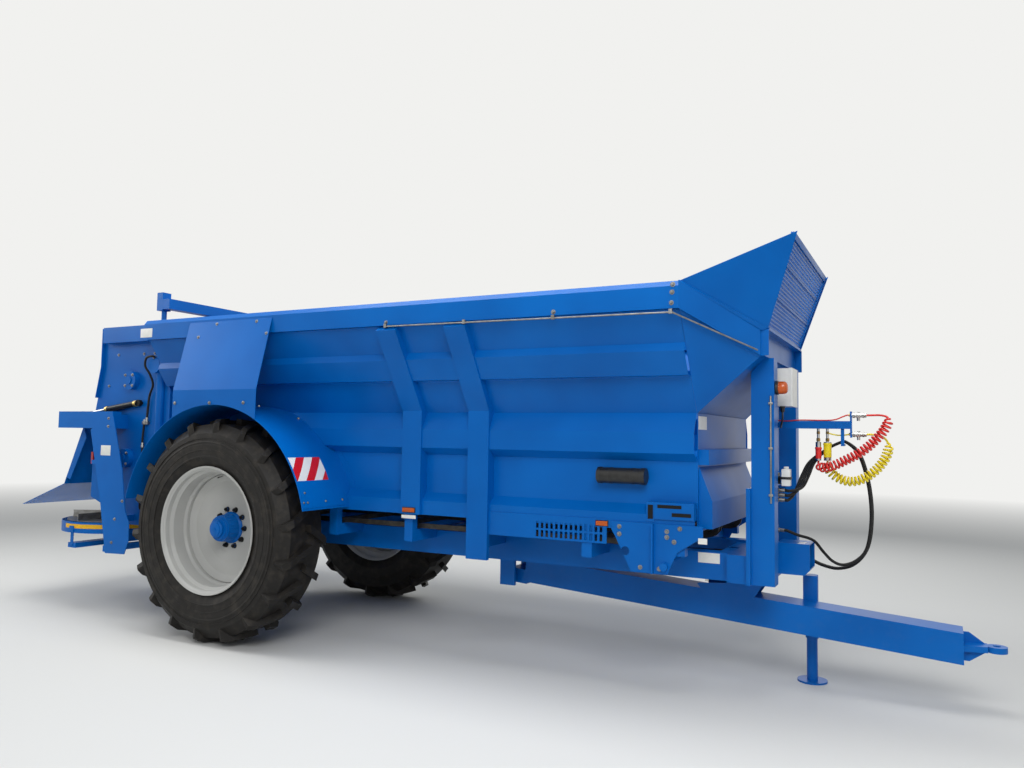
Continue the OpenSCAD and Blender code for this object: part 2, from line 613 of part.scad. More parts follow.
// One auger flight from the middle to an end, towards hand 1 or -1: four points at each step
module flight(start, hand) {
    steps = flight_steps;
    points = [for (i = [0:steps])
        let (a = start - 360 * flight_turns * i / steps, z = (flight_half - flight_t) * i / steps)
        for (side = [0, 1], corner = side == 0 ? flight_edge : [flight_edge[1], flight_edge[0]])
            [corner * cos(a), corner * sin(a), hand * (z + side * flight_t)]];
    // Both faces of the flight are split along the same diagonal, so that it stays evenly thick
    sides = [for (i = [0:steps - 1], k = [0:3])
        let (m = (k + 1) % 4, a = 4 * i + k, b = 4 * i + m, c = a + 4, d = b + 4) each
        (k == 2 ? [[a, c, d], [a, d, b]] : [[a, c, b], [b, c, d]])];
    faces = concat([[0, 1, 2, 3]], [[for (k = [3:-1:0]) 4 * steps + k]], sides);
    turned = [for (f = faces) [for (k = [len(f) - 1:-1:0]) f[k]]];
    polyhedron(points = points, faces = hand > 0 ? faces : turned);
}
tooth_pitch = 78;
module beater() {
    rotate([90, 0, 0]) {
        cylinder(h = 2 * flight_half, r = beater_tube_r, center = true, $fn = 48);
        cylinder(h = 2 * housing_y + 160, r = beater_shaft_r, center = true, $fn = 48);
        for (hand = [-1, 1], start = [0, 180]) {
            first = start + 45 * (1 - hand);
            flight(first, hand);
            for (i = [0:11])
                translate([0, 0, hand * (40 + i * tooth_pitch)])
                    rotate([0, 0, first - (40 + i * tooth_pitch) / flight_half * 360])
                        translate([flight_r - 50, -14, -40 + 4 * hand])
                            cube([beater_r - flight_r + 47, 28, 80]);
        }
    }
}
module beater_lower() color(blue) from_axle() translate([beater_x[0], 0, beater_z[0]]) beater();
module beater_upper() color(blue) from_axle()
    translate([beater_x[1], 0, beater_z[1]]) rotate([0, 45, 0]) beater();

// Spreading deck, gearboxes and discs
deck_y = 1190;
deck_x = -2200;
disc_z = 900;
deck_side = [[-1640, 2030], [-1963, 1845], [-1763, 1143], [-1654, 629], [-1370, 640], [-1315, 770],
    [-1320, 945], [-1385, 1060], [-1455, 1450]];
hinge = [-2240, 1900];
arm_inner = deck_y - 110;
guard_gap = 45;
module spread_deck() color(blue) from_axle() {
    ring_r = disc_r + guard_gap;
    left_and_right() {
        plate_xz(deck_side, deck_y, deck_y + 8);
        difference() {
            box([-2500, arm_inner, 1860], [-1660, deck_y, 2030]);
            rod_y(20 + running_gap, hinge[0], hinge[1], 0, deck_y - 50);
        }
        // Guard band round the outer side of a disc
        translate([deck_x, disc_y, 790]) rotate([0, 0, -30]) rotate_extrude(angle = 210, $fn = 72)
            translate([ring_r, 0]) square([6, 110]);
        box([deck_x - 30, disc_y + ring_r + 3, 800], [deck_x + 30, deck_y + 4, 860]);
        box([deck_x - 20, disc_y + ring_r - 1, 660], [deck_x + 20, disc_y + ring_r + 7, 800]);
        box([-1930, deck_y - 40, 1500], [-1800, deck_y + 4, 1540]);
    }
    box([deck_x - ring_r - 6, -disc_y, 790], [deck_x - ring_r, disc_y, 900]);
    box([-1700, -deck_y, 640], [-1640, deck_y, 700]);
    box([deck_x - 60, -disc_y - ring_r - 3, 640], [deck_x + 60, disc_y + ring_r + 3, 690]);
    box([deck_x, -120, 640], [-1640, 120, 690]);
}
module disc_gearboxes() color(blue) from_axle() difference() {
    union() {
        left_and_right() box([deck_x - 110, disc_y - 110, 690], [deck_x + 110, disc_y + 110, 850]);
        box([deck_x - 100, -100, 690], [deck_x + 100, 100, 850]);
        rod_y(40, deck_x, 770, -disc_y, disc_y);
    }
    for (side = [-1, 1]) rod_z(30 + running_gap, deck_x, side * disc_y, 760, 900);
}
module spinner_disc() {
    cylinder(h = 8, r = disc_r, $fn = 72);
    cylinder(h = 60, r = 90, $fn = 48);
    translate([0, 0, -120]) cylinder(h = 121, r = 30, $fn = 48);
    for (i = [0:vane_n - 1])
        rotate([0, 0, i * 360 / vane_n]) translate([70, -4, 6]) cube([disc_r - 75, 8, 70]);
}
module disc_left() color("#8a8a8a") from_axle() translate([deck_x, disc_y, disc_z]) spinner_disc();
module disc_right() color("#8a8a8a") from_axle()
    translate([deck_x, -disc_y, disc_z]) rotate([0, 0, 30]) spinner_disc();

// Rear hood with its deflector flap, and the cylinders that lift it
hood_half = deck_y - 120;
hood_swing = 70;
ear_r = 130;
ear = hinge + ear_r * [-sin(hood_swing / 2), cos(hood_swing / 2)];
hood_path = [hinge + [0, -26], [-2500, 1340], flap_start, flap_end];
barrel_pin = [-1460, 2120];
barrel_tilt = atan2(barrel_pin[1] - ear[1], barrel_pin[0] - ear[0]);
cylinder_l = norm(barrel_pin - ear);
cylinder_y = housing_face + 37;
module rear_hood() color(blue) from_axle() {
    plate_xz(fold(hood_path, hood_t), -hood_half, hood_half);
    left_and_right() {
        rod_y(34, hinge[0], hinge[1], hood_half - 85, hood_half);
        rod_y(20, hinge[0], hinge[1], hood_half - 5, deck_y - 60);
        plate_xz([hinge + [-30, 0], hinge + [30, 0], ear + [22, 20], ear + [-22, 20]],
            cylinder_y + 22, cylinder_y + 30);
        plate_xz([hinge + [-20, -20], [-2503, 1340], [-2440, 1320], [-2210, 1760]],
            hood_half - 10, hood_half);
    }
}
// Draws along a hood cylinder, from its pin on the housing towards the rod's eye
module on_hood_cylinder()
    translate([barrel_pin[0], cylinder_y, barrel_pin[1]]) rotate([0, -90 - barrel_tilt, 0]) children();
eye_half = 17;
module eye_y(r, z)
    translate([0, -eye_half, z]) rotate([-90, 0, 0]) cylinder(h = 2 * eye_half, r = r, $fn = 40);
module hood_barrels() color("#1c1c1c") from_axle() left_and_right() on_hood_cylinder() {
    eye_y(32, 0);
    translate([0, -40, 0]) rotate([-90, 0, 0]) cylinder(h = 30, r = 15, $fn = 40);
    difference() {
        translate([0, 0, 20]) cylinder(h = 480, r = 30, $fn = 40);
        translate([0, 0, 60]) cylinder(h = 500, r = 15 + running_gap, $fn = 40);
    }
}
module hood_rods() color("#c8c8c8") from_axle() left_and_right() on_hood_cylinder() difference() {
    union() {
        translate([0, 0, 300]) cylinder(h = cylinder_l - 320, r = 15, $fn = 40);
        eye_y(30, cylinder_l);
    }
    eye_y(13, cylinder_l);
}
module rear_lamps() color("#a01010") from_axle() left_and_right()
    box([-1960, deck_y - 130, 1500], [-1930 - seat_gap, deck_y - 10, 1620]);

// Drive line and services
pto_z = 965;
guard_end = body_front + 660;
module pto_guard() color(blue) from_axle() difference() {
    plate_xz([[foot_front + seat_gap, pto_z - 115], [guard_end - 40, pto_z - 115], [guard_end, pto_z - 75],
        [guard_end, pto_z + 115], [foot_front + seat_gap, pto_z + 115]], -130, 130);
    plate_xz([[foot_front - 10, pto_z - 109], [guard_end - 43, pto_z - 109], [guard_end + 20, pto_z - 46],
        [guard_end + 20, pto_z + 109], [foot_front - 10, pto_z + 109]], -124, 124);
}
module pto_stub() color("#a8a8a8") from_axle() {
    rod_x(17.5, 0, pto_z, foot_front + 20, foot_front + 170);
    rod_x(50, 0, pto_z, foot_front, foot_front + 30);
}
drive_r = 30;
drive_ends = [[deck_x + 100 + 1.5, 770], [foot_front, pto_z]];
drive_tilt = atan2(drive_ends[1][1] - drive_ends[0][1], drive_ends[1][0] - drive_ends[0][0]);
module along_drive()
    translate([drive_ends[0][0], 0, drive_ends[0][1]]) rotate([0, 90 - drive_tilt, 0]) children();
module drive_hole() along_drive() translate([0, 0, -200]) cylinder(h = 7500, r = drive_r + 20, $fn = 48);
module drive_line() color("#3a3a3a") from_axle() along_drive()
    cylinder(h = norm(drive_ends[1] - drive_ends[0]) - 1, r = drive_r, $fn = 48);
// Valve block on the front frame, and the fittings of the hydraulic hoses: y, z
outlet_y = -350;
outlets = [1485, 1450, 1415];
module valve_block() color("#8a8a8a") from_axle() {
    x = frame_x + 90 + seat_gap;
    box([x, -420, 1390], [x + 45, -280, 1640]);
    for (z = outlets) rod_x(12, outlet_y, z, x + 40, hose_out);
    for (y = [-400, -300]) rod_z(16, x + 22, y, 1635, 1690);
    for (p = hose_back) rod_x(12, p[0], p[1], foot_front + seat_gap, hose_back_x);
}
arm_z = [1940, 1998];
arm_end = body_front + 946;
peg = [body_front + 880, 1820];
module hose_arm() color(blue) from_axle() {
    plate_xz([[frame_x + 90 + seat_gap, 1945], [frame_front + 100, arm_z[0]], [arm_end, arm_z[0]],
        [arm_end, arm_z[1]], [frame_front + 100, arm_z[1]], [frame_x + 90 + seat_gap, 1985]], -20, 20);
    box([arm_end - 12, -20, 1875], [arm_end, 20, 2070]);
    box([peg[0] - 12, -6, peg[1] - 9], [peg[0] + 12, 6, arm_z[0] + 1]);
    rod_y(9, peg[0], peg[1], -6, 135);
}
// Air couplings at the arm's end, and line filters under the arm: x, y, radius, lowest point
coupling_z = [2042, 1900];
filters = [[body_front + 710, -8, 20, 1700], [body_front + 773, 8, 27, 1700]];
module air_couplings() color("#c8c8c8") from_axle() {
    for (z = coupling_z) {
        rod_x(17, 0, z, arm_end + seat_gap, arm_end + 100);
        rod_z(12, arm_end + 45, 0, z - 42, z + 24);
    }
    for (f = filters) {
        rod_z(f[2], f[0], f[1], f[3], 1840);
        rod_z(10, f[0], f[1], 1835, arm_z[0] - seat_gap);
    }
}
module electric_box() color("#e8e8e4") from_axle()
    box([electric_x, -300, 2100], [electric_x + 115, -60, 2380]);
module amber_lamp() color("#e06000") from_axle()
    rod_x(50, -505, 2222, frame_front + seat_gap, frame_front + 85);

// Hoses: round points chosen along each route, from the body's front end: x, y, z, radius of the ring
red_route = [
    [710, -8, 1700, 6], [710, -8, 1675, 6], [724, -24, 1652, 31], [775, -45, 1652, 31], [840, -60, 1675, 31],
    [915, -60, 1714, 31], [990, -60, 1757, 31], [1058, -60, 1810, 31], [1112, -60, 1865, 31],
    [1158, -52, 1922, 31], [1190, -42, 1985, 31], [1188, -24, 2026, 6], [1140, -8, 2042, 6],
    [1075, 0, 2042, 6], [1046, 0, 2042, 6]];
yellow_route = [
    [773, 8, 1700, 6], [773, 8, 1668, 6], [780, 26, 1632, 31], [818, 42, 1588, 31], [870, 50, 1560, 31],
    [931, 50, 1549, 31], [1000, 50, 1566, 31], [1068, 50, 1609, 31], [1123, 50, 1663, 31],
    [1167, 50, 1730, 31], [1187, 42, 1795, 31], [1184, 26, 1846, 6], [1146, 10, 1888, 6],
    [1080, 0, 1900, 6], [1046, 0, 1900, 6]];
hose_r = 11;
hose_out = body_front + 500;
// Hydraulic hoses: their common loop over the peg as x, y, z, then the step from one hose to the next
hose_loop = [
    [550, -348, 1482, -3, 3, -33], [600, -285, 1490, -16, 16, -18], [630, -190, 1520, -24, 12, -4],
    [652, -80, 1595, -25, 10, 0], [680, 30, 1690, -20, 18, 0], [770, 65, 1790, -4, 26, 0],
    [862, 65, 1840.3, 0, 26, 0], [898, 67, 1840.3, 0, 26, 0], [965, 80, 1780, 3, 26, 0],
    [1012, 100, 1670, 3, 26, 0], [1050, 115, 1480, 3, 26, 0], [1060, 120, 1270, 3, 26, 0],
    [1030, 120, 1060, 3, 26, 0]];
// Their ends: y, z at the chassis
hose_back_x = body_front + 450;
hose_back = [[manifold_y, 1171], [216, 950], [242, 950]];
hose_own = [
    [[962, 98, 965], [870, 76, 925], [795, 66, 948], [732, 48, 1015], [684, 8, 1085], [640, -40, 1118],
        [570, -85, 1140], [500, -99, 1168]],
    [[945, 146, 930], [825, 160, 882], [700, 200, 895], [590, 215, 938]],
    [[948, 172, 930], [825, 186, 882], [700, 226, 895], [590, 241, 938]]];
function ringed(p, r) = [p[0], p[1], p[2], r];
function hydraulic_route(i) = concat(
    [for (out = [0, 22]) [hose_out - body_front + out, outlet_y, outlets[i], hose_r]],
    [for (p = hose_loop) [p[0] + i * p[3], p[1] + i * p[4], p[2] + i * p[5], hose_r]],
    [for (p = hose_own[i]) ringed(p, hose_r)],
    [for (out = [28, 0]) [hose_back_x - body_front + out, hose_back[i][0], hose_back[i][1], hose_r]]);
function place(p) = [p[0], p[1], p[2]];
function heading(route, i) = unit(place(route[min(i + 1, len(route) - 1)]) - place(route[max(i - 1, 0)]));
hose_sides = 8;
module hose(route) from_axle() translate([body_front, 0, 0]) {
    n = len(route);
    sides = hose_sides;
    polyhedron(
        points = [for (i = [0:n - 1])
            let (d = heading(route, i), u = unit(cross([0, 1, 0], d)), v = cross(d, u))
            for (k = [0:sides - 1])
                place(route[i]) + route[i][3] * (cos(360 * k / sides) * u + sin(360 * k / sides) * v)],
        faces = concat(
            [[for (k = [0:sides - 1]) k]],
            [[for (k = [sides - 1:-1:0]) (n - 1) * sides + k]],
            [for (i = [0:n - 2], k = [0:sides - 1])
                let (m = (k + 1) % sides, a = i * sides, b = (i + 1) * sides) each
                [[a + k, b + k, b + m], [a + k, b + m, a + m]]]));
}
module red_air_hose() color("#c81010") hose(red_route);
module yellow_air_hose() color("#e6cf00") hose(yellow_route);
module hydraulic_hose_1() color("#1c1c1c") hose(hydraulic_route(0));
module hydraulic_hose_2() color("#1c1c1c") hose(hydraulic_route(1));
module hydraulic_hose_3() color("#1c1c1c") hose(hydraulic_route(2));

chassis();
axle_beam();
tyre_left();
rim_left();
hub_left();
tyre_right();
rim_right();
hub_right();
side_panel_left();
side_panel_right();
top_rails();
front_wall();
hood_frame();
hood_wings();
hood_screen();
floor_plate();
floor_chains();
floor_shafts();
front_frame();
drawbar();
hitch_eye();
drawbar_cylinder();
jack_tube();
jack_leg();
side_skirts();
side_brackets();
document_tube();
mudguards();
side_covers();
rear_frame();
slurry_door();
door_cylinders();
beater_housing();
beater_bearings();
beater_lower();
beater_upper();
spread_deck();
disc_gearboxes();
disc_left();
disc_right();
rear_hood();
hood_barrels();
hood_rods();
rear_lamps();
pto_guard();
pto_stub();
drive_line();
valve_block();
hose_arm();
air_couplings();
electric_box();
amber_lamp();
red_air_hose();
yellow_air_hose();
hydraulic_hose_1();
hydraulic_hose_2();
hydraulic_hose_3();
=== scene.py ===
"""Looks for a trailed manure spreader: finishes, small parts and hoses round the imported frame."""

import json
import math

import bmesh
import bpy
from mathutils import Matrix, Vector


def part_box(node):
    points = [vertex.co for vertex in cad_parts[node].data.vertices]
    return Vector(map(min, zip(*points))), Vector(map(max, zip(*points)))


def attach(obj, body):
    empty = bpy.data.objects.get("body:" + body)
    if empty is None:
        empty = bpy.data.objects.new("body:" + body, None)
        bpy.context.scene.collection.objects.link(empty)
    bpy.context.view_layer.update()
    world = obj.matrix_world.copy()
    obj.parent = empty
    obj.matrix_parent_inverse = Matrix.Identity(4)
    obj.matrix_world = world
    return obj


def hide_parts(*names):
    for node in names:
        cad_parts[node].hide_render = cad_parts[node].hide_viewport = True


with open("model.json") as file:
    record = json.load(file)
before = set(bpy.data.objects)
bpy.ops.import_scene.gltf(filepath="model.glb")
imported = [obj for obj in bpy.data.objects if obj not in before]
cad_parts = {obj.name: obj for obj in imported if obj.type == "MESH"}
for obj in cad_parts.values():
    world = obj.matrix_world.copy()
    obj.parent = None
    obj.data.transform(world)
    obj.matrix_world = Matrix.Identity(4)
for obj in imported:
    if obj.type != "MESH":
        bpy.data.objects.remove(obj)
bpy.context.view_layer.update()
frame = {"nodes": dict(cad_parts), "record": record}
bpy.context.scene.view_settings.view_transform = "Standard"

# Where things are: everything is given from the axle, X forwards, Y to the left, Z up, in metres
rim_low, rim_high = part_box("rim_right")
AXLE_X = (rim_low.x + rim_high.x) / 2


def at(x, y, z):
    """A point given from the axle, in the model's own frame."""
    return Vector((x + AXLE_X, y, z))


# Camera: it stands ahead of the axle on the right, and looks back at the machine
CAMERA_PLACE = at(5.665, -6.54, 1.838)
CAMERA_YAW = math.radians(27.69)
CAMERA_PITCH = math.radians(3.74)
CAMERA_ROLL = math.radians(0.94)
FOCAL_PIXELS = 813
FRAME_PIXELS = 1024


def make_camera():
    level = Vector((math.cos(CAMERA_YAW), math.sin(CAMERA_YAW), 0))
    ahead = Vector((-math.sin(CAMERA_YAW) * math.cos(CAMERA_PITCH),
                    math.cos(CAMERA_YAW) * math.cos(CAMERA_PITCH), math.sin(CAMERA_PITCH)))
    above = level.cross(ahead)
    right = level * math.cos(CAMERA_ROLL) + above * math.sin(CAMERA_ROLL)
    up = above * math.cos(CAMERA_ROLL) - level * math.sin(CAMERA_ROLL)
    data = bpy.data.cameras.new("camera")
    data.sensor_width = 36
    data.lens = data.sensor_width * FOCAL_PIXELS / FRAME_PIXELS
    data.clip_end = 300
    camera = bpy.data.objects.new("camera", data)
    camera.matrix_world = Matrix.Translation(CAMERA_PLACE) @ Matrix(
        (right, up, -ahead)).transposed().to_4x4()
    bpy.context.scene.collection.objects.link(camera)
    bpy.context.scene.camera = camera


make_camera()


# Hoses: the same points as in the part's source, in metres from the body's front end. The fourth
# number of an air line's point is the share of the coil's radius there: 0 is straight, 1 is the full coil
BODY_FRONT = at(4.150, 0, 0)
COIL_RADIUS = 0.030
COIL_PITCH = 0.028
COIL_STEPS = 18
STRAIGHT_BELOW = 0.001
ROUTE_STEPS = 40
HOSE_STEPS = 6
AIR_HOSE = 0.016
HYDRAULIC_HOSE = 0.022
RED_ROUTE = [
    (0.710, -0.008, 1.700, 0), (0.710, -0.008, 1.675, 0), (0.724, -0.024, 1.652, 1),
    (0.775, -0.045, 1.652, 1), (0.840, -0.060, 1.675, 1), (0.915, -0.060, 1.714, 1),
    (0.990, -0.060, 1.757, 1), (1.058, -0.060, 1.810, 1), (1.112, -0.060, 1.865, 1),
    (1.158, -0.052, 1.922, 1), (1.190, -0.042, 1.985, 1), (1.188, -0.024, 2.026, 0),
    (1.140, -0.008, 2.042, 0), (1.075, 0, 2.042, 0), (1.046, 0, 2.042, 0)]
YELLOW_ROUTE = [
    (0.773, 0.008, 1.700, 0), (0.773, 0.008, 1.668, 0), (0.780, 0.026, 1.632, 1),
    (0.818, 0.042, 1.588, 1), (0.870, 0.050, 1.560, 1), (0.931, 0.050, 1.549, 1),
    (1.000, 0.050, 1.566, 1), (1.068, 0.050, 1.609, 1), (1.123, 0.050, 1.663, 1),
    (1.167, 0.050, 1.730, 1), (1.187, 0.042, 1.795, 1), (1.184, 0.026, 1.846, 0),
    (1.146, 0.010, 1.888, 0), (1.080, 0, 1.900, 0), (1.046, 0, 1.900, 0)]
# The hydraulic hoses' common loop: x, y, z, then the step from one hose to the next
HOSE_LOOP = [
    (0.550, -0.348, 1.482, -0.003, 0.003, -0.033), (0.600, -0.285, 1.490, -0.016, 0.016, -0.018),
    (0.630, -0.190, 1.520, -0.024, 0.012, -0.004), (0.652, -0.080, 1.595, -0.025, 0.010, 0),
    (0.680, 0.030, 1.690, -0.020, 0.018, 0), (0.770, 0.065, 1.790, -0.004, 0.026, 0),
    (0.862, 0.065, 1.8403, 0, 0.026, 0), (0.898, 0.067, 1.8403, 0, 0.026, 0),
    (0.965, 0.080, 1.780, 0.003, 0.026, 0), (1.012, 0.100, 1.670, 0.003, 0.026, 0),
    (1.050, 0.115, 1.480, 0.003, 0.026, 0), (1.060, 0.120, 1.270, 0.003, 0.026, 0),
    (1.030, 0.120, 1.060, 0.003, 0.026, 0)]
# Each hose: height of its outlet, its own last stretch
HYDRAULIC_HOSES = [
    (1.485, [(0.962, 0.098, 0.965), (0.870, 0.076, 0.925), (0.795, 0.066, 0.948),
             (0.732, 0.048, 1.015), (0.684, 0.008, 1.085), (0.640, -0.040, 1.118),
             (0.570, -0.085, 1.140), (0.500, -0.099, 1.168), (0.478, -0.100, 1.171),
             (0.450, -0.100, 1.171)]),
    (1.450, [(0.945, 0.146, 0.930), (0.825, 0.160, 0.882), (0.700, 0.200, 0.895), (0.590, 0.215, 0.938),
             (0.478, 0.216, 0.950), (0.450, 0.216, 0.950)]),
    (1.415, [(0.948, 0.172, 0.930), (0.825, 0.186, 0.882), (0.700, 0.226, 0.895), (0.590, 0.241, 0.938),
             (0.478, 0.242, 0.950), (0.450, 0.242, 0.950)])]


def smooth_line(points, steps):
    """A smooth line through the points, as steps short chords between each two of them."""
    held = [2 * points[0] - points[1]] + points + [2 * points[-1] - points[-2]]
    line = []
    for i in range(len(points) - 1):
        before, start, end, after = held[i:i + 4]
        for step in range(steps):
            t = step / steps
            slope = end - before
            square = 2 * before - 5 * start + 4 * end - after
            cube = 3 * start - before - 3 * end + after
            line.append(0.5 * (2 * start + slope * t + square * t * t + cube * t ** 3))
    return line + [points[-1]]


def coiled_line(route):
    """The line of a hose that winds round the stretch of its route between its two straight ends."""
    centre = smooth_line([BODY_FRONT + Vector(p[:3]) for p in route], ROUTE_STEPS)
    share = smooth_line([Vector((p[3], 0, 0)) for p in route], ROUTE_STEPS)
    line = [centre[0]]
    across = Vector((0, 1, 0))
    turned = 0.0
    for i in range(1, len(centre)):
        start, end = centre[i - 1], centre[i]
        radius = COIL_RADIUS * min(max(share[i].x, 0), 1)
        along = (end - start).normalized()
        across = (across - across.dot(along) * along).normalized()
        side = along.cross(across)
        if radius < STRAIGHT_BELOW:
            line.append(end)
            continue
        turn = 2 * math.pi * (end - start).length / COIL_PITCH
        count = max(1, round(turn / (2 * math.pi) * COIL_STEPS))
        for k in range(1, count + 1):
            angle = turned + turn * k / count
            middle = start.lerp(end, k / count)
            line.append(middle + radius * (math.cos(angle) * across + math.sin(angle) * side))
        turned += turn
    return line


def make_hose(name, line, diameter, stands_for):
    """A hose as a mesh tube along its line."""
    data = bpy.data.curves.new(name, "CURVE")
    data.dimensions = "3D"
    data.bevel_depth = diameter / 2
    data.bevel_resolution = 2
    data.use_fill_caps = True
    spline = data.splines.new("POLY")
    spline.points.add(len(line) - 1)
    for point, place in zip(spline.points, line):
        point.co = (*place, 1)
    drawn = bpy.data.objects.new(name + "_line", data)
    bpy.context.scene.collection.objects.link(drawn)
    evaluated = drawn.evaluated_get(bpy.context.evaluated_depsgraph_get())
    mesh = bpy.data.meshes.new_from_object(evaluated)
    bpy.data.objects.remove(drawn)
    for polygon in mesh.polygons:
        polygon.use_smooth = True
    made = bpy.data.objects.new(name, mesh)
    bpy.context.scene.collection.objects.link(made)
    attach(made, "root")
    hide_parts(stands_for)
    return made


hoses = {}
for name, route in (("red", RED_ROUTE), ("yellow", YELLOW_ROUTE)):
    line = coiled_line(route)
    hoses[name] = make_hose(name + "_air_line", line, AIR_HOSE, name + "_air_hose")
for number, (outlet, own_end) in enumerate(HYDRAULIC_HOSES):
    points = [(0.500, -0.350, outlet), (0.522, -0.350, outlet)]
    points += [(x + number * dx, y + number * dy, z + number * dz) for x, y, z, dx, dy, dz in HOSE_LOOP]
    line = smooth_line([BODY_FRONT + Vector(p) for p in points + own_end], HOSE_STEPS)
    hoses[number] = make_hose("hydraulic_line_%d" % (number + 1), line, HYDRAULIC_HOSE,
                              "hydraulic_hose_%d" % (number + 1))


# Materials
def colour(code):
    """The linear colour of an sRGB hex value."""
    parts = [int(code[i:i + 2], 16) / 255 for i in (1, 3, 5)]
    linear = [c / 12.92 if c <= 0.04045 else ((c + 0.055) / 1.055) ** 2.4 for c in parts]
    return (*linear, 1.0)


def add_node(tree, kind, inputs=None, **settings):
    """A node with its settings, and its inputs set to values or linked to other nodes' outputs."""
    made = tree.nodes.new(kind)
    for name, value in settings.items():
        setattr(made, name, value)
    for name, value in (inputs or {}).items():
        if isinstance(value, bpy.types.NodeSocket):
            tree.links.new(value, made.inputs[name])
        else:
            made.inputs[name].default_value = value
    return made


def new_material(name):
    """An empty material with its output, and its node tree."""
    made = bpy.data.materials.new(name)
    made.use_nodes = True
    made.node_tree.nodes.clear()
    return made, made.node_tree


def finish_material(tree, base, bump=None, bump_depth=0.001, **sockets):
    """Closes a material with a Principled shader: base is a colour or an output, bump a height output."""
    shader = add_node(tree, "ShaderNodeBsdfPrincipled", {"Base Color": base})
    for name, value in sockets.items():
        socket = shader.inputs[name.replace("_", " ")]
        if isinstance(value, bpy.types.NodeSocket):
            tree.links.new(value, socket)
        else:
            socket.default_value = value
    if bump is not None:
        rough = add_node(tree, "ShaderNodeBump", {"Height": bump, "Distance": bump_depth, "Strength": 1.0})
        tree.links.new(rough.outputs["Normal"], shader.inputs["Normal"])
    add_node(tree, "ShaderNodeOutputMaterial", {"Surface": shader.outputs[0]})


def noise(tree, size, detail=2.0):
    """A noise whose grains are about size metres across, from the piece's own place."""
    place = add_node(tree, "ShaderNodeTexCoord").outputs["Object"]
    return add_node(tree, "ShaderNodeTexNoise",
                    {"Vector": place, "Scale": 1 / size, "Detail": detail}).outputs["Fac"]


def blend_colours(tree, share, first, second):
    """first where share is 0 and second where it is 1; each is a hex value or an output."""
    made = add_node(tree, "ShaderNodeMix", data_type="RGBA")
    for index, value in ((0, share), (6, first), (7, second)):
        if isinstance(value, bpy.types.NodeSocket):
            tree.links.new(value, made.inputs[index])
        else:
            made.inputs[index].default_value = colour(value) if index else value
    return made.outputs[2]


def spread(tree, value, low, high, to_low=0.0, to_high=1.0):
    """value's stretch from low to high, turned into to_low to to_high."""
    return add_node(tree, "ShaderNodeMapRange", {
        "Value": value, "From Min": low, "From Max": high, "To Min": to_low, "To Max": to_high}).outputs[0]


def height_share(tree, low, high):
    """0 above high and 1 below low, in metres above the ground."""
    place = add_node(tree, "ShaderNodeTexCoord").outputs["Object"]
    height = add_node(tree, "ShaderNodeSeparateXYZ", {"Vector": place}).outputs["Z"]
    return spread(tree, height, low, high, 1.0, 0.0)


def enamel(name, code, shade, gloss=0.30):
    """Two-pack enamel sprayed on sheet steel: a deep colour, a clear gloss, slight pulls at the welds."""
    made, tree = new_material(name)
    tone = blend_colours(tree, spread(tree, noise(tree, 0.6), 0.35, 0.7), code, shade)
    dust = spread(tree, noise(tree, 0.05, 4), 0.5, 0.8, 0, 0.04)
    low_dust = add_node(tree, "ShaderNodeMath", {0: dust, 1: height_share(tree, 0.3, 1.3)},
                        operation="MULTIPLY").outputs[0]
    base = blend_colours(tree, low_dust, tone, "#8a8578")
    finish_material(tree, base, bump=noise(tree, 0.4), bump_depth=0.0003,
                    Roughness=spread(tree, noise(tree, 0.5, 2), 0.3, 0.7, gloss, gloss + 0.06),
                    Specular_IOR_Level=0.15, Coat_Weight=0.02, Coat_Roughness=0.1)
    return made


def rubber(name, code="#1b1917", dusty="#4a443c"):
    """Vulcanised tyre rubber: black, half matt, with dry dust in its moulded grain."""
    made, tree = new_material(name)
    base = blend_colours(tree, spread(tree, noise(tree, 0.08, 5), 0.48, 0.75, 0, 0.35), code, dusty)
    finish_material(tree, base, bump=noise(tree, 0.006, 4), bump_depth=0.0006,
                    Roughness=spread(tree, noise(tree, 0.2), 0.3, 0.7, 0.5, 0.65), Specular_IOR_Level=0.25)
    return made


def bare_metal(name, code, rough, grain=0.004):
    """Rolled or drawn steel: grey metal with a fine uneven grain."""
    made, tree = new_material(name)
    base = blend_colours(tree, spread(tree, noise(tree, 0.05, 4), 0.4, 0.7, 0, 0.5), code, "#5c5850")
    finish_material(tree, base, bump=noise(tree, grain, 3), bump_depth=0.0003, Metallic=1.0,
                    Roughness=spread(tree, noise(tree, 0.03, 3), 0.3, 0.7, rough, rough + 0.15))
    return made


def plastic(name, code, rough, **more):
    """Moulded plastic: one colour right through, with a fine spark-eroded texture."""
    made, tree = new_material(name)
    base = blend_colours(tree, spread(tree, noise(tree, 0.04), 0.3, 0.7, 0, 0.10), code, "#6a6a66")
    finish_material(tree, base, bump=noise(tree, 0.003, 2), bump_depth=0.0002, Roughness=rough, **more)
    return made


PAINT = enamel("blue_enamel", "#0064B8", "#005AAA")
RIM_PAINT = enamel("silver_enamel", "#B8B8B4", "#A9A9A6", 0.3)
BLACK_PAINT = enamel("black_enamel", "#151617", "#1c1c1c", 0.3)
TYRE = rubber("tyre_rubber")
CHAIN = bare_metal("oiled_chain_steel", "#3c3a38", 0.45)
STEEL = bare_metal("rolled_steel", "#9a9a98", 0.35)
CHROME = bare_metal("chromed_rod", "#c4c4c2", 0.12)
BLACK_PLASTIC = plastic("black_polythene", "#121212", 0.35)
WHITE_PLASTIC = plastic("white_abs", "#e6e6e0", 0.35)
RED_HOSE = plastic("red_polyamide", "#E0241C", 0.3)
YELLOW_HOSE = plastic("yellow_polyamide", "#F4DE10", 0.3)
BLACK_HOSE = rubber("hose_rubber", "#161616", "#2a2a28")
AMBER = plastic("amber_polycarbonate", "#e06000", 0.12, Transmission_Weight=0.3)
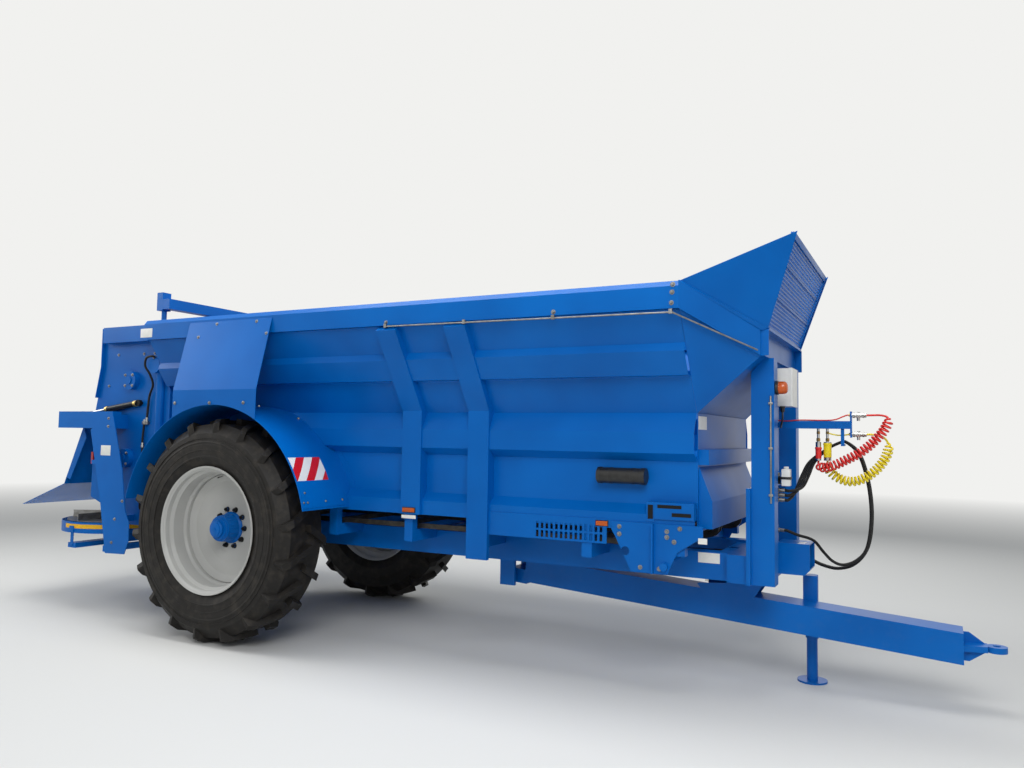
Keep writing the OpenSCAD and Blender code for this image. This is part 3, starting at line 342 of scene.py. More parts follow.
RED_LENS = plastic("red_acrylic", "#a01010", 0.12)

CAD_FINISH = {
    "paint": PAINT, "rim_paint": RIM_PAINT, "tyre": TYRE, "chain": CHAIN, "steel": STEEL, "chrome": CHROME,
    "black_plastic": BLACK_PLASTIC, "white_plastic": WHITE_PLASTIC, "amber": AMBER, "red_lens": RED_LENS,
    "black_paint": BLACK_PAINT, "red_hose": RED_HOSE, "yellow_hose": YELLOW_HOSE, "black_hose": BLACK_HOSE}
for key, hose in hoses.items():
    hose.data.materials.append({"red": RED_HOSE, "yellow": YELLOW_HOSE}.get(key, BLACK_HOSE))
for part in frame["record"]["subparts"]:
    mesh = frame["nodes"][part["node"]].data
    mesh.materials.clear()
    mesh.materials.append(CAD_FINISH[part["material_slot"]])


# Small parts in mesh code: each helper adds a solid to a shape, with its places given from the axle
BLOCK_FACES = ((0, 1, 3, 2), (4, 6, 7, 5), (0, 4, 5, 1), (2, 3, 7, 6), (0, 2, 6, 4), (1, 5, 7, 3))
SIDES = (-1, 1)
FORWARDS = (1, 0, 0)
UPWARDS = (0, 0, 1)


def block(shape, low, high, place=at):
    corners = [shape.verts.new(place(x, y, z))
               for x in (low[0], high[0]) for y in (low[1], high[1]) for z in (low[2], high[2])]
    for loop in BLOCK_FACES:
        shape.faces.new([corners[i] for i in loop])


def rings(shape, loops):
    """Skins a row of rings of equal length, and closes both ends."""
    rows = [[shape.verts.new(p) for p in loop] for loop in loops]
    count = len(rows[0])
    for near, far in zip(rows, rows[1:]):
        for k in range(count):
            m = (k + 1) % count
            shape.faces.new((near[k], near[m], far[m], far[k]))
    shape.faces.new(rows[0][::-1])
    shape.faces.new(rows[-1])


def around(axis):
    """Two directions square to an axis and to each other."""
    first = axis.orthogonal().normalized()
    return first, axis.cross(first)


def turned(shape, place, axis, profile, sides=24):
    """A profile of (radius, distance along the axis) turned round the axis from a place."""
    axis = Vector(axis).normalized()
    first, second = around(axis)
    angles = [2 * math.pi * k / sides for k in range(sides)]
    rings(shape, [[Vector(place) + axis * far + radius * (math.cos(a) * first + math.sin(a) * second)
                   for a in angles] for radius, far in profile])


def rod(shape, start, end, radius, sides=20):
    line = Vector(end) - Vector(start)
    turned(shape, start, line, [(radius, 0), (radius, line.length)], sides)


def tube(shape, points, radius, sides=12, steps=6):
    """A bent pipe along a smooth line through the points."""
    line = smooth_line([Vector(p) for p in points], steps)
    first = around((line[1] - line[0]).normalized())[0]
    loops = []
    for i, middle in enumerate(line):
        along = (line[min(i + 1, len(line) - 1)] - line[max(i - 1, 0)]).normalized()
        first = (first - first.dot(along) * along).normalized()
        second = along.cross(first)
        loops.append([middle + radius * (math.cos(a) * first + math.sin(a) * second)
                      for a in [2 * math.pi * k / sides for k in range(sides)]])
    rings(shape, loops)


def finish_mesh(mesh, material, sharp=35):
    for polygon in mesh.polygons:
        polygon.use_smooth = True
    mesh.set_sharp_from_angle(angle=math.radians(sharp))
    if material is not None:
        mesh.materials.append(material)


def add_piece(shape, name, material, body="root", bevel=0.0):
    """Turns a shape into a piece that rides on a body, its hard edges broken by a small bevel."""
    bmesh.ops.recalc_face_normals(shape, faces=shape.faces)
    if bevel:
        hard = [e for e in shape.edges if len(e.link_faces) == 2 and e.calc_face_angle(0) > 0.8]
        bmesh.ops.bevel(shape, geom=hard, offset=bevel, segments=2, profile=0.7, affect="EDGES",
                        clamp_overlap=True)
    mesh = bpy.data.meshes.new(name)
    shape.to_mesh(mesh)
    shape.free()
    finish_mesh(mesh, material)
    made = bpy.data.objects.new(name, mesh)
    bpy.context.scene.collection.objects.link(made)
    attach(made, body)
    return made


# Geometry Nodes: one template set on many points, each with its own turn and size
def scatter_tree():
    tree = bpy.data.node_groups.new("scatter", "GeometryNodeTree")
    sockets = [("Geometry", "NodeSocketGeometry"), ("Template object", "NodeSocketObject"),
               ("Finish material", "NodeSocketMaterial"), ("Size spread", "NodeSocketFloat"),
               ("Seed", "NodeSocketInt")]
    for name, kind in sockets:
        tree.interface.new_socket(name, in_out="INPUT", socket_type=kind)
    tree.interface.new_socket("Geometry", in_out="OUTPUT", socket_type="NodeSocketGeometry")
    given = add_node(tree, "NodeGroupInput").outputs
    template = add_node(tree, "GeometryNodeObjectInfo", {"Object": given["Template object"]})
    turn = add_node(tree, "GeometryNodeInputNamedAttribute", {"Name": "turn"}, data_type="FLOAT_VECTOR")
    size = add_node(tree, "GeometryNodeInputNamedAttribute", {"Name": "size"}, data_type="FLOAT_VECTOR")
    low = add_node(tree, "ShaderNodeMath", {0: 1.0, 1: given["Size spread"]}, operation="SUBTRACT")
    high = add_node(tree, "ShaderNodeMath", {0: 1.0, 1: given["Size spread"]}, operation="ADD")
    chance = add_node(tree, "FunctionNodeRandomValue", data_type="FLOAT")
    for index, value in ((2, low.outputs[0]), (3, high.outputs[0]), (8, given["Seed"])):
        tree.links.new(value, chance.inputs[index])
    scaled = add_node(tree, "ShaderNodeVectorMath", {0: size.outputs["Attribute"]}, operation="SCALE")
    tree.links.new(chance.outputs[1], scaled.inputs["Scale"])
    placed = add_node(tree, "GeometryNodeInstanceOnPoints", {
        "Points": given["Geometry"], "Instance": template.outputs["Geometry"],
        "Rotation": turn.outputs["Attribute"], "Scale": scaled.outputs[0]})
    real = add_node(tree, "GeometryNodeRealizeInstances", {"Geometry": placed.outputs[0]})
    painted = add_node(tree, "GeometryNodeSetMaterial", {
        "Geometry": real.outputs[0], "Material": given["Finish material"]})
    add_node(tree, "NodeGroupOutput", {"Geometry": painted.outputs[0]})
    return tree


SCATTER = scatter_tree()


def scattered(name, template, rows, material, body="root", size_spread=0.0, seed=1):
    """Sets a template at rows of (place, direction its own Z points in, size)."""
    points = bpy.data.meshes.new(name + "_points")
    points.from_pydata([row[0] for row in rows], [], [])
    for label, values in (
            ("turn", [Vector(row[1]).to_track_quat("Z", "X").to_euler() for row in rows]),
            ("size", [(row[2], row[2], row[2]) for row in rows])):
        attribute = points.attributes.new(label, "FLOAT_VECTOR", "POINT")
        attribute.data.foreach_set("vector", [value for row in values for value in row])
    holder = bpy.data.objects.new(name + "_points", points)
    bpy.context.scene.collection.objects.link(holder)
    modifier = holder.modifiers.new("scatter", "NODES")
    modifier.node_group = SCATTER
    values = {"Template object": template, "Finish material": material, "Size spread": size_spread,
              "Seed": seed}
    for socket in SCATTER.interface.items_tree:
        if socket.in_out == "INPUT" and socket.name in values:
            modifier[socket.identifier] = values[socket.name]
    evaluated = holder.evaluated_get(bpy.context.evaluated_depsgraph_get())
    mesh = bpy.data.meshes.new_from_object(evaluated)
    bpy.data.objects.remove(holder)
    finish_mesh(mesh, None)
    made = bpy.data.objects.new(name, mesh)
    bpy.context.scene.collection.objects.link(made)
    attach(made, body)
    return made


def template_of(name, parts):
    """An unlinked template about the origin: parts are (sides, profile) turned round Z."""
    shape = bmesh.new()
    for sides, profile in parts:
        turned(shape, (0, 0, 0), UPWARDS, profile, sides)
    bmesh.ops.recalc_face_normals(shape, faces=shape.faces)
    mesh = bpy.data.meshes.new(name)
    shape.to_mesh(mesh)
    shape.free()
    return bpy.data.objects.new(name, mesh)


BOLT = template_of("bolt", [(20, [(0.019, 0), (0.019, 0.002), (0.018, 0.003)]),
                            (6, [(0.0135, 0.002), (0.0135, 0.010), (0.0115, 0.0125)]),
                            (12, [(0.007, 0.011), (0.007, 0.017), (0.006, 0.018)])])
NUT = template_of("nut", [(24, [(0.024, 0), (0.024, 0.004), (0.022, 0.005)]),
                          (6, [(0.0195, 0.004), (0.0195, 0.024), (0.017, 0.027)]),
                          (16, [(0.0105, 0.020), (0.0105, 0.036), (0.009, 0.038)])])

# Places of bolts. Along the top rail and its corner: x, z on the rail's outer face
RAIL_FACE = 1.302
RAIL_BOLTS = [(4.113, 2.871), (4.108, 2.819), (4.104, 2.748), (1.77, 2.735), (3.24, 2.735)]
# On the side covers: x, z
COVER_BOLTS = [(-0.101, 2.815), (0.384, 2.815), (-0.30, 2.70), (0.53, 2.70), (0.016, 2.094),
               (0.42, 2.094), (-0.42, 2.094)]
# On the mudguards' front ends: angle above the axle in degrees, y
GUARD_CENTRE = (0.040, 0.985)
GUARD_FACE = 1.0985
GUARD_BOLTS = [(19.6, 1.409), (15.4, 1.440), (15.4, 1.395), (15.4, 1.174), (15.4, 0.960),
               (64, 0.90), (90, 0.90)]
# On the plates of the side brackets: x, z, on the face at BRACKET_FACE
BRACKET_FACE = 0.892
BRACKET_BOLTS = [(4.048, 1.215), (3.955, 1.190), (3.955, 1.150), (3.600, 1.204), (3.600, 1.150),
                 (4.007, 1.120), (3.760, 0.925), (3.900, 0.925)]
# The side cover's outer face: height of its bend and foot, how far out it is at the bend, its slope below
# the bend, the lip at its foot, and the lean of its bolts
COVER_BEND = 2.840
COVER_FOOT = 2.210
COVER_REACH = 1.307
COVER_SLOPE = 0.2508
COVER_LIP = 0.005
COVER_LEAN = 0.25


def cover_face(z):
    """How far the side cover's outer face is from the middle at a height."""
    below = max(0.0, min(COVER_BEND - z, COVER_BEND - COVER_FOOT))
    return COVER_REACH + below * COVER_SLOPE + (COVER_LIP if z < COVER_FOOT else 0)


def guard_place(angle, y, out=0.0):
    radians = math.radians(angle)
    reach = GUARD_FACE + out
    return at(GUARD_CENTRE[0] + reach * math.cos(radians), y, GUARD_CENTRE[1] + reach * math.sin(radians))


def body_bolts():
    rows = []
    for side in SIDES:
        out = (0, side, 0)
        rows += [(at(x, side * RAIL_FACE, z), out, 0.9) for x, z in RAIL_BOLTS]
        for x, z in COVER_BOLTS:
            lean = COVER_LEAN if z > COVER_FOOT else 0
            rows.append((at(x, side * cover_face(z), z), (0, side, lean), 0.8))
        for angle, y in GUARD_BOLTS:
            turn = math.radians(angle)
            rows.append((guard_place(angle, side * y), (math.cos(turn), 0, math.sin(turn)), 0.8))
        rows += [(at(x, side * BRACKET_FACE, z), out, 0.9) for x, z in BRACKET_BOLTS]
    return rows


scattered("body_bolts", BOLT, body_bolts(), STEEL, size_spread=0.04, seed=7)


# Hazard boards on the mudguards' front ends, striped red and white in bands as wide as BAND
HAZARD_ANGLES = (23.2, 36.4)
HAZARD_Y = (1.072, 1.452)
BAND = 0.1


def guard_plate(shape, angles, ys, low, high, steps=6):
    """A plate that follows the mudguard's curve, from low to high above its face."""
    turns = [angles[0] + (angles[1] - angles[0]) * i / steps for i in range(steps + 1)]
    rings(shape, [[guard_place(t, y, out) for y, out in
                   ((ys[0], low), (ys[1], low), (ys[1], high), (ys[0], high))] for t in turns])


def hazard_material():
    """Reflective film: red and white bands at a slant across the board."""
    made, tree = new_material("hazard_film")
    place = add_node(tree, "ShaderNodeTexCoord").outputs["Object"]
    parts = add_node(tree, "ShaderNodeSeparateXYZ", {"Vector": place}).outputs
    away = add_node(tree, "ShaderNodeMath", {0: parts["Y"]}, operation="ABSOLUTE").outputs[0]
    slant = add_node(tree, "ShaderNodeMath", {0: away, 1: parts["Z"]}, operation="ADD").outputs[0]
    phase = add_node(tree, "ShaderNodeMath", {0: slant, 1: 2 * BAND, 2: 0.0}, operation="WRAP").outputs[0]
    band = add_node(tree, "ShaderNodeMath", {0: phase, 1: BAND}, operation="GREATER_THAN").outputs[0]
    base = blend_colours(tree, band, "#e9e9e6", "#cf1414")
    finish_material(tree, base, bump=noise(tree, 0.004, 2), bump_depth=0.0002, Roughness=0.28)
    return made


HAZARD = hazard_material()
shape = bmesh.new()
for side in SIDES:
    guard_plate(shape, HAZARD_ANGLES, sorted((side * HAZARD_Y[0], side * HAZARD_Y[1])), 0.0005, 0.004)
add_piece(shape, "hazard_boards", HAZARD)

# Blank plates where the machine carries its labels: x, z ranges on a face at y, on the right side
LABEL_T = 0.0015
LABELS = [
    ((-1.137, -0.974), (2.735, 2.821), -1.302), ((1.693, 1.835), (1.152, 1.180), -0.912),
    ((4.178, 4.241), (1.120, 1.160), -0.892)]
shape = bmesh.new()
for (x0, x1), (z0, z1), y in LABELS:
    block(shape, (x0, y - LABEL_T, z0), (x1, y, z1))
add_piece(shape, "blank_labels", WHITE_PLASTIC, bevel=0.0004)

# Side reflectors in their frames: x range, z range, y of the face that they are on
REFLECTORS = [((3.410, 3.512), (1.195, 1.240), 0.880), ((1.700, 1.830), (1.200, 1.245), 0.912),
              ((-0.960, -0.860), (1.215, 1.260), 0.880)]
FRAME_EDGE = 0.006
lenses = bmesh.new()
frames = bmesh.new()
for side in SIDES:
    for (x0, x1), (z0, z1), y in REFLECTORS:
        near, far = sorted((side * (y + 0.003), side * (y + 0.010)))
        block(lenses, (x0 + FRAME_EDGE, near, z0 + FRAME_EDGE), (x1 - FRAME_EDGE, far, z1 - FRAME_EDGE))
        near, far = sorted((side * y, side * (y + FRAME_EDGE)))
        block(frames, (x0, near, z0), (x1, far, z1))
add_piece(lenses, "side_reflectors", AMBER, bevel=0.0015)
add_piece(frames, "reflector_frames", BLACK_PLASTIC, bevel=0.001)

# Galvanised tie bars under the rails, their eyelets, and the stays down the corners
TIE_BAR = [(1.766, 2.702), (4.109, 2.684)]
TIE_RADIUS = 0.006
CORNER_STAY = (4.575, 0.845, 2.462)
EYELETS = (1.77, 2.5, 3.24, 4.10)
shape = bmesh.new()
for side in SIDES:
    ends = [at(x, side * 1.309, z) for x, z in TIE_BAR]
    rod(shape, ends[0], ends[1], TIE_RADIUS, 12)
    stay_x, stay_y, stay_z = CORNER_STAY
    rod(shape, ends[1], at(stay_x, side * stay_y, stay_z), TIE_RADIUS, 12)
    for x in EYELETS:
        (x0, z0), (x1, z1) = TIE_BAR
        z = z0 + (z1 - z0) * (x - x0) / (x1 - x0)
        low, high = sorted((side * 1.297, side * 1.317))
        block(shape, (x - 0.012, low, z - 0.010), (x + 0.012, high, z + 0.022))
add_piece(shape, "tie_bars", STEEL, bevel=0.001)


# Wheels: dark nuts on the studs, ribs along the hub's barrel, a grease cap, and rings on the tyre's wall
TRACK_HALF = 1.200
AXLE_Z = 0.985
STUD_CIRCLE = 0.1675
STUDS = 10
STUD_FACE = -0.0508
HUB_RIBS = 20
# Rings on the tyre's wall: radius, half width, how far out
TYRE_RINGS = [(0.640, 0.008, 0.2635), (0.700, 0.005, 0.2655), (0.765, 0.010, 0.2650), (0.800, 0.004, 0.2640)]
VALVE_ANGLE = 100
# The valve's stem and cap: foot, head (each from the axis, outwards), radius
VALVE_RODS = [((0.470, -0.02), (0.455, 0.040), 0.0045), ((0.458, 0.030), (0.452, 0.062), 0.0065)]


def wheel_place(side, radius, angle, out):
    """A place on a wheel: from its axis, round it in degrees, and from its middle outwards."""
    radians = math.radians(angle)
    return at(radius * math.cos(radians), side * (TRACK_HALF + out), AXLE_Z + radius * math.sin(radians))


for side, name in ((-1, "right"), (1, "left")):
    body = "wheel_" + name
    out = (0, side, 0)
    rows = [(wheel_place(side, STUD_CIRCLE, 360 * i / STUDS, STUD_FACE), out, 1.0) for i in range(STUDS)]
    scattered("wheel_nuts_" + name, NUT, rows, BLACK_PAINT, body=body)
    shape = bmesh.new()
    for i in range(HUB_RIBS):
        angle = 360 * i / HUB_RIBS
        rod(shape, wheel_place(side, 0.119, angle, -0.025), wheel_place(side, 0.111, angle, 0.060), 0.0055, 8)
    turned(shape, wheel_place(side, 0, 0, 0.084), out, [(0.102, 0), (0.102, 0.008), (0.098, 0.011)], 40)
    cap = [(0.060, 0.004), (0.060, 0.012), (0.052, 0.016), (0.014, 0.017), (0.014, 0.022)]
    turned(shape, wheel_place(side, 0, 0, 0.128), out, cap, 32)
    add_piece(shape, "hub_details_" + name, PAINT, body=body)
    shape = bmesh.new()
    for foot, head, radius in VALVE_RODS:
        start, end = [wheel_place(side, away, VALVE_ANGLE, reach) for away, reach in (foot, head)]
        rod(shape, start, end, radius, 12)
    add_piece(shape, "tyre_valve_" + name, STEEL, body=body)
    shape = bmesh.new()
    for radius, width, face in TYRE_RINGS:
        profile = [(width, -0.010), (width, 0.0015), (width * 0.7, 0.0035)]
        profile += [(-wide, up) for wide, up in reversed(profile)]
        profile = [(radius + wide, face + up) for wide, up in profile]
        turned(shape, wheel_place(side, 0, 0, 0), out, profile, 120)
    # The flat ends of the rings lie inside the tyre's wall and are left out
    ring_ends = [f for f in shape.faces if len(f.verts) > 8]
    bmesh.ops.delete(shape, geom=ring_ends, context="FACES_ONLY")
    add_piece(shape, "tyre_rings_" + name, TYRE, body=body)


# Warning lamp on the right upright: black base, ribbed amber dome
LAMP = at(4.6355, -0.505, 2.222)
LAMP_BASE = [(0.046, 0), (0.050, 0.003), (0.050, 0.018), (0.047, 0.022)]
shape = bmesh.new()
turned(shape, LAMP, FORWARDS, LAMP_BASE, 40)
add_piece(shape, "lamp_base", BLACK_PLASTIC)
shape = bmesh.new()
DOME = [(0.044, 0.020), (0.046, 0.024), (0.045, 0.029), (0.046, 0.034), (0.045, 0.039), (0.046, 0.044),
        (0.045, 0.050), (0.045, 0.060), (0.042, 0.070), (0.036, 0.077), (0.026, 0.082), (0.012, 0.0845),
        (0.002, 0.085)]
turned(shape, LAMP, FORWARDS, DOME, 40)
dome = add_piece(shape, "lamp_dome", AMBER)
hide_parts("amber_lamp")

# Control box: its lid, the cable gland under it and the cable down to the arm
shape = bmesh.new()
block(shape, (4.702, -0.303, 2.097), (4.719, -0.057, 2.383))
add_piece(shape, "box_lid", WHITE_PLASTIC, bevel=0.004)
shape = bmesh.new()
GLAND = [(0.020, 0), (0.020, 0.012), (0.016, 0.014), (0.016, 0.034), (0.010, 0.046)]
turned(shape, at(4.640, -0.250, 2.100), (0, 0, -1), GLAND, 16)
tube(shape, [at(4.640, -0.250, 2.062), at(4.640, -0.250, 2.010), at(4.622, -0.200, 1.960),
             at(4.600, -0.090, 1.945), at(4.592, -0.022, 1.955)], 0.007)
add_piece(shape, "box_gland", BLACK_PLASTIC)

# Hose arm: air pipes from the filters to the couplings, the filters' sleeves and the couplings' collars
BRASS = bare_metal("brass", "#c9aa62", 0.25)
# Filters: x, y, radius, foot, head
FILTERS = [(4.860, -0.008, 0.0215, 1.712, 1.800), (4.923, 0.008, 0.0285, 1.722, 1.832)]
AIR_PIPE_RADIUS = 0.0052
COUPLING_HEIGHTS = (2.042, 1.900)
AIR_PIPES = [
    ("red", RED_HOSE, [(4.567, 0, 2.000), (4.640, 0, 1.997), (4.735, 0, 2.0045), (4.950, 0, 2.0045),
                       (5.030, 0, 2.030), (5.060, 0, 2.042), (5.082, 0, 2.042)]),
    ("yellow", YELLOW_HOSE, [(4.930, 0.008, 1.906), (4.955, 0.014, 1.900), (4.990, 0.022, 1.893),
                             (5.035, 0.020, 1.893), (5.066, 0.006, 1.898), (5.082, 0, 1.900)])]
for (x, y, radius, low, high), (name, material, route) in zip(FILTERS, AIR_PIPES):
    shape = bmesh.new()
    tall = high - low
    sleeve = [(radius - 0.003, 0), (radius, 0.004), (radius, tall - 0.016), (radius + 0.003, tall - 0.014),
              (radius + 0.003, tall)]
    turned(shape, at(x, y, low), UPWARDS, sleeve, 32)
    tube(shape, [at(*place) for place in route], AIR_PIPE_RADIUS)
    add_piece(shape, name + "_air_pipe", material)
shape = bmesh.new()
for z in COUPLING_HEIGHTS:
    turned(shape, at(5.074, 0, z), FORWARDS, [(0.011, 0), (0.011, 0.010), (0.009, 0.011), (0.009, 0.022)], 6)
for x, y, radius, low, high in FILTERS:
    turned(shape, at(x, y, 1.845), UPWARDS, [(0.015, 0), (0.015, 0.022), (0.012, 0.024)], 6)
    turned(shape, at(x, y, 1.900), UPWARDS, [(0.013, 0), (0.013, 0.018), (0.011, 0.020)], 6)
add_piece(shape, "brass_fittings", BRASS)
shape = bmesh.new()
for z in COUPLING_HEIGHTS:
    for x, radius in ((5.104, 0.021), (5.128, 0.024), (5.168, 0.020)):
        collar = [(radius - 0.002, 0), (radius, 0.002), (radius, 0.010), (radius - 0.002, 0.012)]
        turned(shape, at(x, 0, z), FORWARDS, collar, 24)
    block(shape, (5.128, -0.034, z - 0.004), (5.140, 0.034, z + 0.004))
add_piece(shape, "coupling_collars", CHROME, bevel=0.0008)

# Valve block: unions and ferrules of the hoses, a solenoid, an oil bottle on its bracket
VALVE_FACE = 4.6103
VALVE_Y = -0.350
HOSE_START = 4.650
UNION = [(0.0175, 0), (0.0175, 0.016), (0.015, 0.018)]
UPPER_FERRULE = [(0.0155, 0), (0.0155, 0.014), (0.0138, 0.016), (0.0138, 0.032)]
LOWER_FERRULE = [(0.0165, 0), (0.0165, 0.016), (0.0138, 0.018), (0.0138, 0.048)]
PLUG = [(0.020, 0), (0.020, 0.020), (0.014, 0.022), (0.014, 0.036)]
SOLENOID = [(0.026, 0), (0.028, 0.003), (0.028, 0.044), (0.020, 0.047), (0.020, 0.056)]
shape = bmesh.new()
for outlet, own_end in HYDRAULIC_HOSES:
    turned(shape, at(VALVE_FACE, VALVE_Y, outlet), FORWARDS, UNION, 6)
    turned(shape, at(HOSE_START - 0.012, VALVE_Y, outlet), FORWARDS, UPPER_FERRULE, 20)
    x, y, z = own_end[-1]
    turned(shape, BODY_FRONT + Vector((x - 0.024, y, z)), FORWARDS, LOWER_FERRULE, 20)
turned(shape, at(VALVE_FACE, -0.400, 1.600), FORWARDS, PLUG, 6)
add_piece(shape, "hose_unions", STEEL)
shape = bmesh.new()
turned(shape, at(VALVE_FACE, -0.310, 1.555), FORWARDS, SOLENOID, 28)
block(shape, (4.650, -0.408, 1.566), (4.719, -0.336, 1.584))
add_piece(shape, "solenoid_and_strap", BLACK_PLASTIC, bevel=0.001)
shape = bmesh.new()
block(shape, (4.654, -0.404, 1.518), (4.715, -0.340, 1.640))
turned(shape, at(4.684, -0.372, 1.640), UPWARDS, [(0.018, 0), (0.018, 0.014), (0.015, 0.017)], 20)
add_piece(shape, "oil_bottle", WHITE_PLASTIC, bevel=0.008)
shape = bmesh.new()
block(shape, (VALVE_FACE, -0.392, 1.618), (4.652, -0.352, 1.624))
block(shape, (4.648, -0.392, 1.540), (4.653, -0.352, 1.624))
add_piece(shape, "bottle_bracket", PAINT, bevel=0.001)

# Galvanised conduit down the right upright, with its clips
shape = bmesh.new()
rod(shape, at(4.612, -0.5765, 1.400), at(4.612, -0.5765, 2.160), 0.0065, 16)
for z in (1.45, 1.78, 2.10):
    block(shape, (4.598, -0.5845, z), (4.626, -0.570, z + 0.016))
add_piece(shape, "upright_conduit", STEEL, bevel=0.001)

# Latch box on the body's front corners: its frame, and black plates on its face where its slots are, as
# painted shade for the dark inside the slots
plates = bmesh.new()
painted_slot_shade = bmesh.new()
for side in SIDES:
    def mirrored(x, y, z):
        return at(x, side * y, z)
    block(plates, (3.862, 0.815, 1.272), (4.149, 0.893, 1.392), mirrored)
    block(plates, (3.800, 0.815, 1.250), (3.862, 0.884, 1.392), mirrored)
    # The slots are thin black plates standing proud of the face: painted shade, not openings
    block(painted_slot_shade, (3.886, 0.890, 1.352), (4.060, 0.8945, 1.376), mirrored)
    block(painted_slot_shade, (3.990, 0.890, 1.296), (4.128, 0.8945, 1.322), mirrored)
    block(painted_slot_shade, (3.812, 0.882, 1.272), (3.850, 0.8855, 1.372), mirrored)
add_piece(plates, "latch_boxes", PAINT, bevel=0.003)
add_piece(painted_slot_shade, "latch_slots", BLACK_PAINT)

# Document tube: end caps and saddle straps
TUBE_Y = -0.8703
TUBE_Z = 1.570
TUBE_CAP = [(0.0600, 0), (0.0615, 0.002), (0.0615, 0.030), (0.058, 0.034), (0.050, 0.034)]
TUBE_STRAP = [(0.0590, 0), (0.0600, 0.001), (0.0600, 0.019), (0.0590, 0.020)]
shape = bmesh.new()
for x, way in ((3.430, -1), (3.790, 1)):
    turned(shape, at(x - way * 0.030, TUBE_Y, TUBE_Z), (way, 0, 0), TUBE_CAP, 48)
for x in (3.520, 3.690):
    turned(shape, at(x, TUBE_Y, TUBE_Z), FORWARDS, TUBE_STRAP, 48)
add_piece(shape, "document_tube_caps", BLACK_PLASTIC)

# Yellow film round the outer side of each disc's guard
YELLOW_FILM = plastic("yellow_film", "#eab000", 0.28)
DISC_X = -2.200
DISC_Y = 0.600
FILM_SECTION = [(0.5812, 0.838), (0.5828, 0.838), (0.5828, 0.880), (0.5812, 0.880)]
shape = bmesh.new()
for side in SIDES:
    arc = [side * math.radians(12 + 6 * i) for i in range(16)]
    rings(shape, [[at(DISC_X + r * math.cos(a), side * DISC_Y + r * math.sin(a), z) for r, z in FILM_SECTION]
                  for a in arc])
add_piece(shape, "guard_film", YELLOW_FILM)

# Blank plates: on the deck's side, the front frame, the drive guard and the front wall
shape = bmesh.new()
block(shape, (-1.786, -1.1995, 1.590), (-1.640, -1.198, 1.690))
block(shape, (4.075, -0.5015, 0.938), (4.235, -0.500, 1.012))
for y in (-0.115, -0.040):
    block(shape, (4.720, y, 1.080), (4.772, y + 0.040, 1.0812))
block(shape, (4.1550, -0.800, 1.914), (4.1562, -0.569, 2.010))
add_piece(shape, "blank_plates", WHITE_PLASTIC, bevel=0.0004)

# Rear: pipes down the housing's sides, as radius and x, y, z on the left, with their unions and clamps
PIPE_Y = 1.022
REAR_PIPES = [
    (0.011, [(-1.180, 1.085, 2.560), (-1.180, 1.125, 2.575), (-1.262, 1.128, 2.560),
             (-1.285, 1.120, 2.480), (-1.262, 1.080, 2.400), (-1.262, 1.040, 2.300),
             (-1.330, PIPE_Y, 2.180), (-1.352, PIPE_Y, 1.960)]),
    (0.010, [(-1.385, PIPE_Y, 1.940), (-1.400, 1.024, 1.700), (-1.372, PIPE_Y, 1.400),
             (-1.400, PIPE_Y, 1.120), (-1.420, 1.000, 1.060)])]
PIPE_UNIONS = [(-1.352, 1.952), (-1.385, 1.930), (-1.400, 1.700), (-1.372, 1.400)]
PIPE_UNION = [(0.014, 0), (0.017, 0.003), (0.017, 0.020), (0.013, 0.023), (0.013, 0.050)]
CLAMP_Y = (1.0002, 1.030)
shape = bmesh.new()
for side in SIDES:
    for radius, places in REAR_PIPES:
        tube(shape, [at(x, side * y, z) for x, y, z in places], radius)
add_piece(shape, "rear_pipes", BLACK_HOSE)
shape = bmesh.new()
for side in SIDES:
    for x, z in PIPE_UNIONS:
        turned(shape, at(x, side * PIPE_Y, z - 0.026), UPWARDS, PIPE_UNION, 6)
    near, far = sorted(side * y for y in CLAMP_Y)
    block(shape, (-1.412, near, 1.905), (-1.330, far, 1.935))
    rod(shape, at(-1.180, side * 1.060, 2.560), at(-1.180, side * 1.112, 2.566), 0.016, 6)
add_piece(shape, "rear_unions", STEEL, bevel=0.001)

# Bolts: in fours round the beaters' bearings, and x, z on the faces of the housing and the deck's sides
BEATERS = [(-1.640, 1.560), (-1.600, 2.350)]
BEARING_CIRCLE = 0.076
BEARING_FACE = 1.060
REAR_BOLT_SIZE = 0.8
REAR_BOLTS = [
    (1.000, [(-1.30, 2.62), (-1.46, 2.62), (-1.85, 2.62), (-1.98, 2.30), (-1.30, 1.10), (-1.95, 1.30),
             (-2.05, 1.70)]),
    (1.198, [(-1.690, 1.960), (-1.690, 1.880), (-1.530, 0.970), (-1.560, 0.740), (-1.430, 1.150)])]
rows = []
for side in SIDES:
    out = (0, side, 0)
    for x, z in BEATERS:
        for k in range(4):
            a = math.radians(45 + 90 * k)
            across, up = BEARING_CIRCLE * math.cos(a), BEARING_CIRCLE * math.sin(a)
            rows.append((at(x + across, side * BEARING_FACE, z + up), out, REAR_BOLT_SIZE))
    for face, places in REAR_BOLTS:
        rows += [(at(x, side * face, z), out, REAR_BOLT_SIZE) for x, z in places]
scattered("rear_bolts", BOLT, rows, STEEL, size_spread=0.04, seed=11)

# Glands at both ends of the hood cylinders' barrels
PIN = (-1.460, 2.120)
CYLINDER_Y = 1.037
ALONG = Vector((-0.99135, 0, -0.13124))
GLAND_RING = [(0.0305, 0), (0.0325, 0.002), (0.0325, 0.030), (0.0305, 0.032)]
shape = bmesh.new()
for side in SIDES:
    for far in (0.030, 0.468):
        turned(shape, at(PIN[0], side * CYLINDER_Y, PIN[1]) + ALONG * far, ALONG, GLAND_RING, 32)
add_piece(shape, "hood_cylinder_glands", BRASS, body="barrels")

